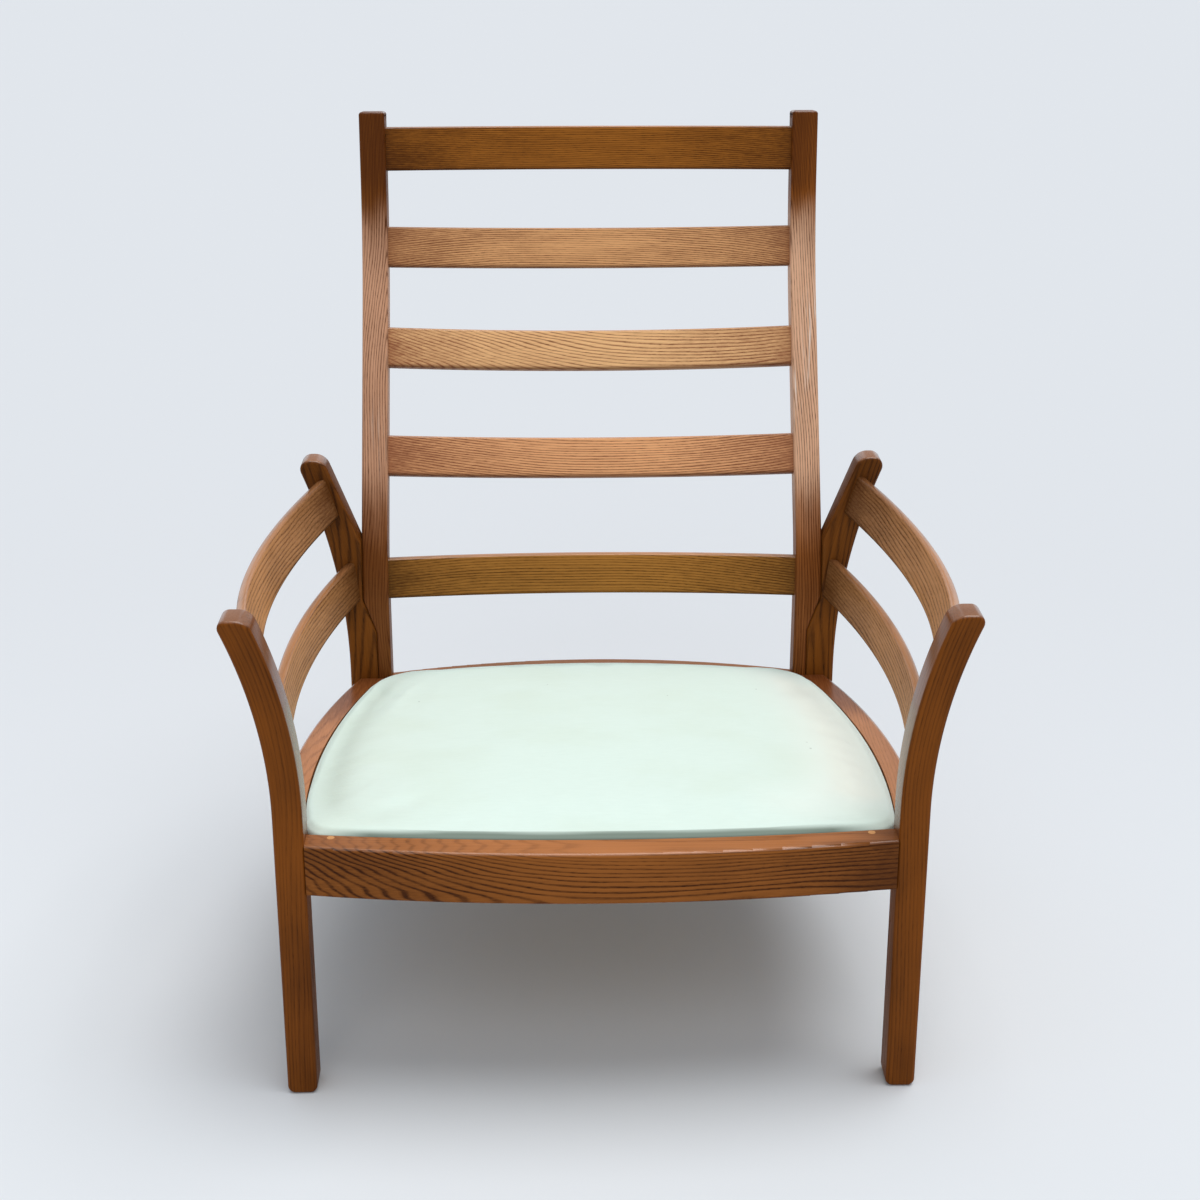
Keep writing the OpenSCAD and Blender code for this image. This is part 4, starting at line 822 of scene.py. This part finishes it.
pad_middle = Vector((0, (front_rail_top + half_plan[-1][1]) / 2))


def pad_height(inset):
    """Height of the cloth above the rails, some way in from the edge."""
    if inset > roll_width:
        return edge_top + (crown - edge_top) * (1 - ((1 - inset / pad_reach) / 0.93) ** 2)
    return edge_top - 0.0042 * (1 - inset / roll_width) ** 2.6


def on_slope(x, y, height):
    """A point of the seat's sloping plane, in the chair's frame."""
    return Vector((x, front_face_y + y * cos(seat_slope) + height * sin(seat_slope),
                   seat_height - y * sin(seat_slope) + height * cos(seat_slope)))


def pad_form(section, fans):
    """A shell of rings drawn in from the pad's plan, with fans that close given rings."""
    form = bmesh.new()
    edge_mark = form.verts.layers.float.new("edge")
    rings = []
    for inset, height in section:
        ring = []
        for point in plan:
            at = pad_middle + (Vector(point) - pad_middle) * (1 - inset / pad_reach)
            ring.append(form.verts.new(on_slope(at.x, at.y, height)))
            ring[-1][edge_mark] = inset
        rings.append(ring)
    steps = [(i, (i + 1) % count) for i in range(count)]
    for low, high in zip(rings, rings[1:]):
        for i, j in steps:
            form.faces.new((low[i], high[i], high[j], low[j]))
    for level, height in fans:
        middle = form.verts.new(on_slope(*pad_middle, height))
        middle[edge_mark] = pad_reach
        for i, j in steps:
            form.faces.new((middle, rings[level][i], rings[level][j]))
    bmesh.ops.recalc_face_normals(form, faces=form.faces)
    if form.faces[0].normal.z < 0:
        bmesh.ops.reverse_faces(form, faces=form.faces)
    return form


insets = [pad_reach * (1 - (0.03 + 0.89 * (k / 26) ** 0.9)) for k in range(27)]
pad_section = [(inset, pad_height(inset))
               for inset in insets + [0.020, 0.016, 0.012, 0.0085, 0.0055]]
pad_section += [(0.0032, 0.0045), (0.0016, 0.0030), (0.0005, 0.0010), (0.0, -0.0015), (0.0, -0.005),
                (0.0, -0.010), (0.0004, -0.0138), (0.0018, -0.0154), (0.006, cover_under),
                (0.014, cover_under), (0.024, cover_under)]
cloth = pad_form(pad_section, [(0, crown)])
for face in cloth.faces:
    face.smooth = True
cover = solid("seat_cover_cloth", cloth)
most, calm_reach = 0.004, 0.16
rest = [v.co.copy() for v in cover.data.vertices]
held = cover.vertex_groups.new(name="held")
held.add([level * count + i for level, (inset, height) in enumerate(pad_section)
          if inset < 0.0012 or height < 0 for i in range(count)], 1.0, "REPLACE")
step = cover.modifiers.new("drawn_tight", "CLOTH")
for setting, value in (
        ("quality", 4), ("mass", 0.3), ("tension_stiffness", 60), ("compression_stiffness", 40),
        ("shear_stiffness", 20), ("bending_stiffness", 2), ("use_pressure", True),
        ("uniform_pressure_force", 2.5), ("vertex_group_mass", "held")):
    setattr(step.settings, setting, value)
step.settings.effector_weights.gravity = 0
step.collision_settings.use_collision = False
for number in range(1, 19):
    bpy.context.scene.frame_set(number)
swollen = cover.evaluated_get(bpy.context.evaluated_depsgraph_get())
moved = [v.co.copy() for v in swollen.data.vertices]
cover.modifiers.remove(step)
bpy.context.scene.frame_set(1)
for vertex, before, after in zip(cover.data.vertices, rest, moved):
    far = hypot(abs(before.x) - front_inner, before.y - front_face_y - front_leg_depth)
    shift = (after - before) * min(far / calm_reach, 1.0) ** 1.5
    vertex.co = before + (shift if shift.length < most else shift.normalized() * most)
finer = cover.modifiers.new("finer", "SUBSURF")
finer.levels = finer.render_levels = 1
smooth_mesh = bpy.data.meshes.new_from_object(
    cover.evaluated_get(bpy.context.evaluated_depsgraph_get()))
cover.modifiers.remove(finer)
cover.data = smooth_mesh

folds = (
    (0.0016, 0.0055, ((-0.212, 0.500), (-0.232, 0.452), (-0.249, 0.385), (-0.262, 0.300))),
    (-0.0014, 0.0075, ((-0.236, 0.485), (-0.259, 0.430), (-0.276, 0.350), (-0.284, 0.262))),
    (0.0007, 0.010, ((-0.176, 0.505), (-0.196, 0.440), (-0.208, 0.360), (-0.214, 0.290))))


def clamp(share):
    return min(max(share, 0.0), 1.0)


def bell(value, middle, width):
    return exp(-((value - middle) / width) ** 2)


def drift(x, y, size, seed):
    """Slow unevenness from a few crossed waves, the same on every run."""
    return (sin(x / size * 1.7 + seed) * sin(y / size * 1.3 + seed * 2.1)
            + 0.6 * sin((x + y) / size * 2.3 + seed * 0.7)) / 1.6


def near_path(x, y, path):
    """Distance from a point to a path, and how far along the path it lies, from 0 to 1."""
    best, at = 1.0, 0.0
    for k, (a, b) in enumerate(zip(path, path[1:])):
        run_x, run_y = b[0] - a[0], b[1] - a[1]
        t = clamp(((x - a[0]) * run_x + (y - a[1]) * run_y) / (run_x ** 2 + run_y ** 2))
        far = hypot(x - a[0] - run_x * t, y - a[1] - run_y * t)
        if far < best:
            best, at = far, (k + t) / (len(path) - 1)
    return best, at


for label in ("shaded_flank", "painted_skirt_shade", "painted_right_light"):
    smooth_mesh.attributes.new(label, "FLOAT", "POINT")
marks, shaded_flank, painted_skirt_shade, painted_right_light = [smooth_mesh.attributes[label].data
                              for label in ("edge", "shaded_flank", "painted_skirt_shade", "painted_right_light")]
for index, vertex in enumerate(smooth_mesh.vertices):
    x, y = vertex.co.x, (vertex.co.y - front_face_y) / cos(seat_slope)
    above = vertex.co.z - on_slope(0, y, 0).z
    inset = marks[index].value
    on_side = clamp((y - 0.03) / 0.08) * clamp((0.56 - y) / 0.08)
    leftness, rightness = clamp((-x - 0.15) / 0.08) * on_side, clamp((x - 0.15) / 0.08) * on_side
    lift = 0.0
    if above > 0.001:
        roll, dip = bell(inset, 0.0065, 0.0045), bell(inset, 0.021, 0.009)
        lift += (roll * 0.0009 - dip * 0.0017) * leftness
        lift += (roll * 0.0005 - dip * 0.0008) * rightness
        lift += drift(x, y, 0.07, 1.3) * 0.0004 * min(inset / 0.05, 1.0)
        for height, width, path in folds:
            far, at = near_path(x, y, path)
            lift += height * bell(far, 0, width) * sin(pi * min(at + 0.12, 1.0)) ** 1.2
        over = clamp((above - 0.001) / 0.003) * max(1 - inset / 0.03, 0.0)
        vertex.co.x -= 0.0038 * over * leftness * bell(y, 0.14, 0.11)
    vertex.co.z += lift
    # Painted shade: the pad's front side above the rail is marked for a darker grey-green, as shade
    # falls there.
    shaded = clamp((0.300 - abs(x)) / 0.055) if y < 0.06 else 0.12
    sink = 0.0076 + drift(x, y, 0.05, 0.4) * 0.0006 - above
    painted_skirt_shade[index].value = clamp(sink / 0.0042) * shaded if inset < 0.008 else 0.0
    # Painted shade: the slope along the pad's left side is marked to be painted darker.
    shaded_flank[index].value = leftness * bell(inset, 0.026, 0.018)
    # Painted light: the pad's right side is marked to be painted lighter, to cancel the right arm's
    # shadow.
    painted_right_light[index].value = rightness * bell(inset, 0.03, 0.05)
skin = cover.modifiers.new("skin", "SOLIDIFY")
skin.thickness = cover_thickness
skin.offset = -1

mint = Finish("mint_cloth")
where = mint.here()
flat_x, flat_y, _ = mint.split(where)
threads = {"Vector": where, "Scale": 420.0, "Distortion": 0.6, "Detail": 1.0}
weft, warp = [mint.add("TexWave", threads, wave_type="BANDS", bands_direction=way)
              for way in ("X", "Y")]
faded = mint.noise(where, (7, 9, 7), 3.0)
slub = mint.noise(where, (60, 420, 60))
side, painted_right_light_share = mint.mark("shaded_flank"), mint.mark("painted_right_light")
tone = linear(235, 253, 243)
# Painted light and shade on the cloth: the pad's front side and left slope are painted darker, its
# right side lighter with a faint cream tint; the other mixes are the cloth's own fading and slubs.
for share, colour in (
        (faded.smooth(0.42, 0.75) * 0.55, (229, 246, 231)),
        ((slub - 0.5) * 0.25 + 0.1, (206, 226, 214)), (side * 0.55, (204, 218, 203)),
        (painted_right_light_share * 0.95, (247, 255, 246)), (painted_right_light_share.smooth(0.5, 1.0) * 0.22, (248, 246, 226)),
        (mint.mark("painted_skirt_shade") * 0.95, (122, 136, 124))):
    tone = mint.mix(share, tone, linear(*colour))
for spot_x, spot_y, size in ((-0.2157, 0.4020, 0.0017), (-0.0583, 0.4480, 0.0013),
                             (0.2020, 0.4370, 0.0016), (0.2430, 0.2490, 0.0014),
                             (0.2450, 0.2290, 0.0020), (0.0890, 0.3960, 0.0013)):
    away_x, away_y = flat_x - spot_x, flat_y - (front_face_y + spot_y)
    spot = (away_x * away_x + away_y * away_y) ** 0.5
    tone = mint.mix(spot.smooth(size * 0.4, size, 0.4, 0.0), tone, linear(96, 116, 100))
relief = weft * warp * 0.10 + mint.noise(where, (30, 250, 60)) * side * 1.6 + slub * 0.06
fabric = mint.finish({
    "Base Color": tone, "Roughness": 0.82, "Normal": mint.bump(0.6, 0.0012, relief),
    "Specular IOR Level": 0.15, "Sheen Weight": 0.15, "Sheen Roughness": 0.5})
keep(cover, fabric, "seat_cover")

# Webbing. Five straps run each way, woven over and under each other and stapled to the seat
# frame's top. They are coarse jute with a darker selvedge, and carry the foam.
web_width = 0.050
web_end = 0.014
web_pitch = 0.090
web_first_x = -0.180
web_first_y = 0.112

web = Tree("woven_strap", {
    "From": 0.0, "To": 0.4, "First crossing": 0.1, "Pitch": web_pitch, "Crossings": 5.0,
    "Over": 0.0, "Width": web_width, "Thickness": 0.0012, "Low": -0.0032, "Rise": 0.0014,
    "Turn": 0.0, "Slope": -seat_slope}, ("Place", "Seat"), "Cloth")
thickness = web["Thickness"]


def weave(x):
    """Lifts a strap wherever it crosses over another one."""
    first, pitch = web["First crossing"], web["Pitch"]
    nearest = ((x - first) / pitch).whole().under(web["Crossings"] - 1).over(0.0)
    away = (x - first - nearest * pitch).size()
    lift = away.smooth(0.026, 0.038, 1.0, 0.0) * (1 - (nearest + web["Over"]).left_over(2.0))
    return 0.0, lift * web["Rise"] + web["Low"] + thickness * 0.5


strap = web.strip(web["From"], web["To"], 160, weave, (web["Width"], thickness),
                  thickness * 0.35, 2)
strap = web.mark(strap, "weave", web.add("InputPosition"))
for place, axis, label in (("Place", "z", "Turn"), ("Seat", "x", "Slope")):
    strap = web.moved(strap, Translation=web[place],
                      Rotation=web.vector(**{axis: web[label]}))
web.finish(strap)

jute = Finish("jute_webbing")
lay = jute.mark("weave", "Vector")
lay_x, lay_y, _ = jute.split(lay)
twill = ((lay_x + lay_y.zigzag(0.006)) * 620).fract()
twill = twill.smooth(0.1, 0.5) * twill.smooth(0.6, 1.0, 1.0, 0.0)
strand = jute.noise(lay, (300, 1600, 300), 2.0, rough=0.6)
from_middle = lay_y.size()
stripe = from_middle.smooth(0.0165, 0.0172) * from_middle.smooth(0.0188, 0.0195, 1.0, 0.0)
tone = jute.mix(twill, linear(112, 84, 54), linear(176, 146, 104))
tone = jute.mix(strand * 0.5, tone, linear(140, 108, 70))
jute.finish({"Base Color": jute.mix(stripe * 0.85, tone, linear(96, 44, 34)), "Roughness": 0.9,
             "Normal": jute.bump(0.6, 0.0006, twill + strand * 0.4), "Specular IOR Level": 0.15})

for group, first in (("seat_webbing_along", web_first_y), ("seat_webbing_across", web_first_x)):
    for i in range(5):
        if group == "seat_webbing_along":
            x = web_first_x + web_pitch * i
            values = {"From": front_y(x) + web_end, "To": back_y(abs(x) + web_width / 2) - web_end,
                      "Over": float(i % 2), "Turn": pi / 2, "Place": (x, 0.0, 0.0)}
        else:
            y = web_first_y + web_pitch * i
            reach = side_x(y + web_width / 2) - web_end
            values = {"From": -reach, "To": reach, "Over": float((i + 1) % 2),
                      "Place": (0.0, y, 0.0)}
        values.update({"First crossing": first, "Cloth": jute.material,
                       "Seat": (0.0, front_face_y, seat_height)})
        strap = grown("%s_%d" % (group, i + 1), web, values)
        keep(strap, jute.material, group)

# Screws. Slotted steel screws hold the corner blocks to the rails, and four longer ones come up
# through the blocks into the seat frame, so that the seat lifts out when they are undone.
block_middle = -0.032
block_foot = -0.044
back_reach = seat_corner_radius - 0.010
block_reach = 0.058 * sqrt(0.5)

screw = Tree("slotted_screws", {"Head": 0.008, "Head height": 0.003, "Shank": 0.004,
                                "Long": 0.030, "Pitch": 0.0014, "Slot": 0.001}, (), "Steel")
long, shank = screw["Long"], screw["Shank"]
head, slot = screw["Head"] * 0.5, screw["Slot"]
rod = screw.add("MeshCylinder", {"Vertices": 28, "Side Segments": 150, "Radius": 1.0,
                                 "Depth": long}, fill_type="NGON")
rod = screw.moved(rod, Translation=screw.vector(z=long * 0.5))
spot = screw.add("InputPosition")
up = screw.split(spot)[2]
dome = up.smooth(-0.0011, 0.0011, -0.45, 1.0) * head
thread = 1 - ((up / screw["Pitch"]).fract() - 0.5).size() * 2
core = shank * 0.5 * (thread * 0.24 + 0.76)
point = ((long - up) / shank).under(1.0) * 0.92 + 0.08
under_head = up.beyond(screw["Head height"])
width = dome * (1 - under_head) + core * point * under_head
rod = screw.add("SetPosition", {"Geometry": rod, "Position": screw.add(
    "VectorMath", {0: spot, 1: screw.vector(width, width, 1.0)}, operation="MULTIPLY")})
cutter = screw.add("MeshCube", {"Size": screw.vector(head * 4, slot, slot * 2.6)})
cut = screw.add("MeshBoolean", {"Mesh 1": rod, "Mesh 2": cutter}, operation="DIFFERENCE")
screw.finish(screw.add("InstanceOnPoints", {
    "Points": screw["Geometry"], "Instance": cut, "Rotation": screw.add(
        "InputNamedAttribute", {"Name": "turn"}, data_type="FLOAT_VECTOR")}))

steel = Finish("zinc_steel")
where = steel.here()
dull = steel.noise(where, (240, 240, 240), 3.0).smooth(0.45, 0.7) * 0.6
steel.finish({"Base Color": steel.mix(dull, linear(176, 174, 168), linear(120, 112, 98)),
              "Metallic": 1.0, "Roughness": steel.noise(where, (900, 900, 200)) * 0.3 + 0.25})

block_screws = [((0.268, 0.052), (0, -1)), ((0.292, 0.076), (1, 0)),
                ((corner.x - 0.008, corner.y + back_reach - 0.012), (0, 1)),
                ((corner.x + back_reach - 0.014, corner.y - 0.008), (1, 0))]
seat_screws = [(0.282, 0.060), (corner.x + block_reach, corner.y + block_reach)]
blocked, upright = [], []
for sign in (-1, 1):
    for (x, y), (aim_x, aim_y) in block_screws:
        start = on_slope(sign * x, y, block_middle)
        blocked.append((start, on_slope(sign * (x + aim_x), y + aim_y, block_middle) - start))
    for x, y in seat_screws:
        upright.append((on_slope(sign * x, y, block_foot), on_slope(0, 0, 1) - on_slope(0, 0, 0)))
for node, screws, length in (("corner_block_screws", blocked, 0.030),
                             ("seat_screws", upright, 0.038)):
    group = grown(node + "_steel", screw, {"Long": length, "Steel": steel.material},
                  [tuple(at) for at, aim in screws],
                  [tuple(aim.to_track_quat("Z", "Y").to_euler()) for at, aim in screws])
    keep(group, steel.material, node)

# Foam. One block of cream foam, cut to the cloth's crown. It lies on the webbing, and the
# cloth drawn over it holds it in place.
foam_depth = 0.0054
foam_foot = -0.0003
foam_section = [(pad_reach * (1 - s), pad_height(pad_reach * (1 - s)) - foam_depth)
                for s in (0.04, 0.25, 0.45, 0.62, 0.76, 0.88)]
foam_section += [(0.018, 0.0036), (0.010, 0.0014), (0.0072, 0.0004), (0.0072, foam_foot),
                 (0.030, foam_foot)]
foam_block = solid("seat_foam_block", pad_form(foam_section, [(0, crown - foam_depth),
                                                              (-1, foam_foot)]))
cream = Finish("cream_foam")
where = cream.here()
cells = cream.add("TexVoronoi", {"Vector": where, "Scale": 900.0})
tone = cream.mix(cells * 0.5, linear(232, 218, 176), linear(196, 178, 132))
tone = cream.mix(cream.noise(where, (30, 30, 30)) * 0.3, tone, linear(214, 196, 150))
keep(foam_block, cream.finish({
    "Base Color": tone, "Roughness": 0.95, "Normal": cream.bump(0.5, 0.0006, cells),
    "Specular IOR Level": 0.1}), "seat_foam")

# Floor, light and camera. A plain pale floor under soft light from above and from the front,
# seen from the photograph's place.
floor_reach = 60
floor_mesh = bpy.data.meshes.new("floor")
floor_mesh.from_pydata([(x * floor_reach, y * floor_reach, 0) for x, y in (
    (-1, -1), (1, -1), (1, 1), (-1, 1))], [], [(0, 1, 2, 3)])
floor = stand("floor", floor_mesh)
paper = Finish("pale_floor")
far = paper.split(paper.here())[1].smooth(-0.6, 1.4)
dress(floor, paper.finish({
    "Base Color": paper.mix(far, linear(230, 234, 238), linear(223, 226, 230)),
    "Roughness": 0.9, "Specular IOR Level": 0.0}))

world = bpy.data.worlds.new("studio")
world.use_nodes = True
bpy.context.scene.world = world
sky = Nodes(world.node_tree)
backdrop = sky.tree.nodes["Background"]
sky.put(backdrop.inputs["Color"], linear(221, 228, 236))
sky.put(backdrop.inputs["Strength"], 0.52)
camera_ray, glossy, through = [sky.add("LightPath", output=ray) for ray in (
    "Is Camera Ray", "Is Glossy Ray", "Is Transmission Ray")]
sky.put(sky.tree.nodes["World Output"].inputs["Surface"], sky.add("MixShader", {
    0: camera_ray + glossy + through, 1: Value(sky, backdrop.outputs[0]),
    2: sky.add("Background", {"Color": linear(231, 236, 243)})}))

for name, aim, power, angle in (("overhead", (0.22, 0.06, 0.974), 1.80, 46),
                                ("front_soft", (-0.05, -0.74, 0.667), 0.42, 36)):
    lamp = bpy.data.lights.new(name, "SUN")
    lamp.energy = power
    lamp.angle = radians(angle)
    lamp.color = (1.0, 0.985, 0.965)
    stand(name, lamp).rotation_euler = Vector(aim).to_track_quat("Z", "Y").to_euler()

camera = bpy.data.cameras.new("camera")
camera.lens = 61.5
camera.sensor_width = 36
view = stand("camera", camera)
view.location = (-0.0448, front_face_y - 1.9178, 1.2833)
view.rotation_euler = (radians(90 - 20.335), 0, radians(-1.264))
bpy.context.scene.camera = view
bpy.context.scene.view_settings.view_transform = "Standard"
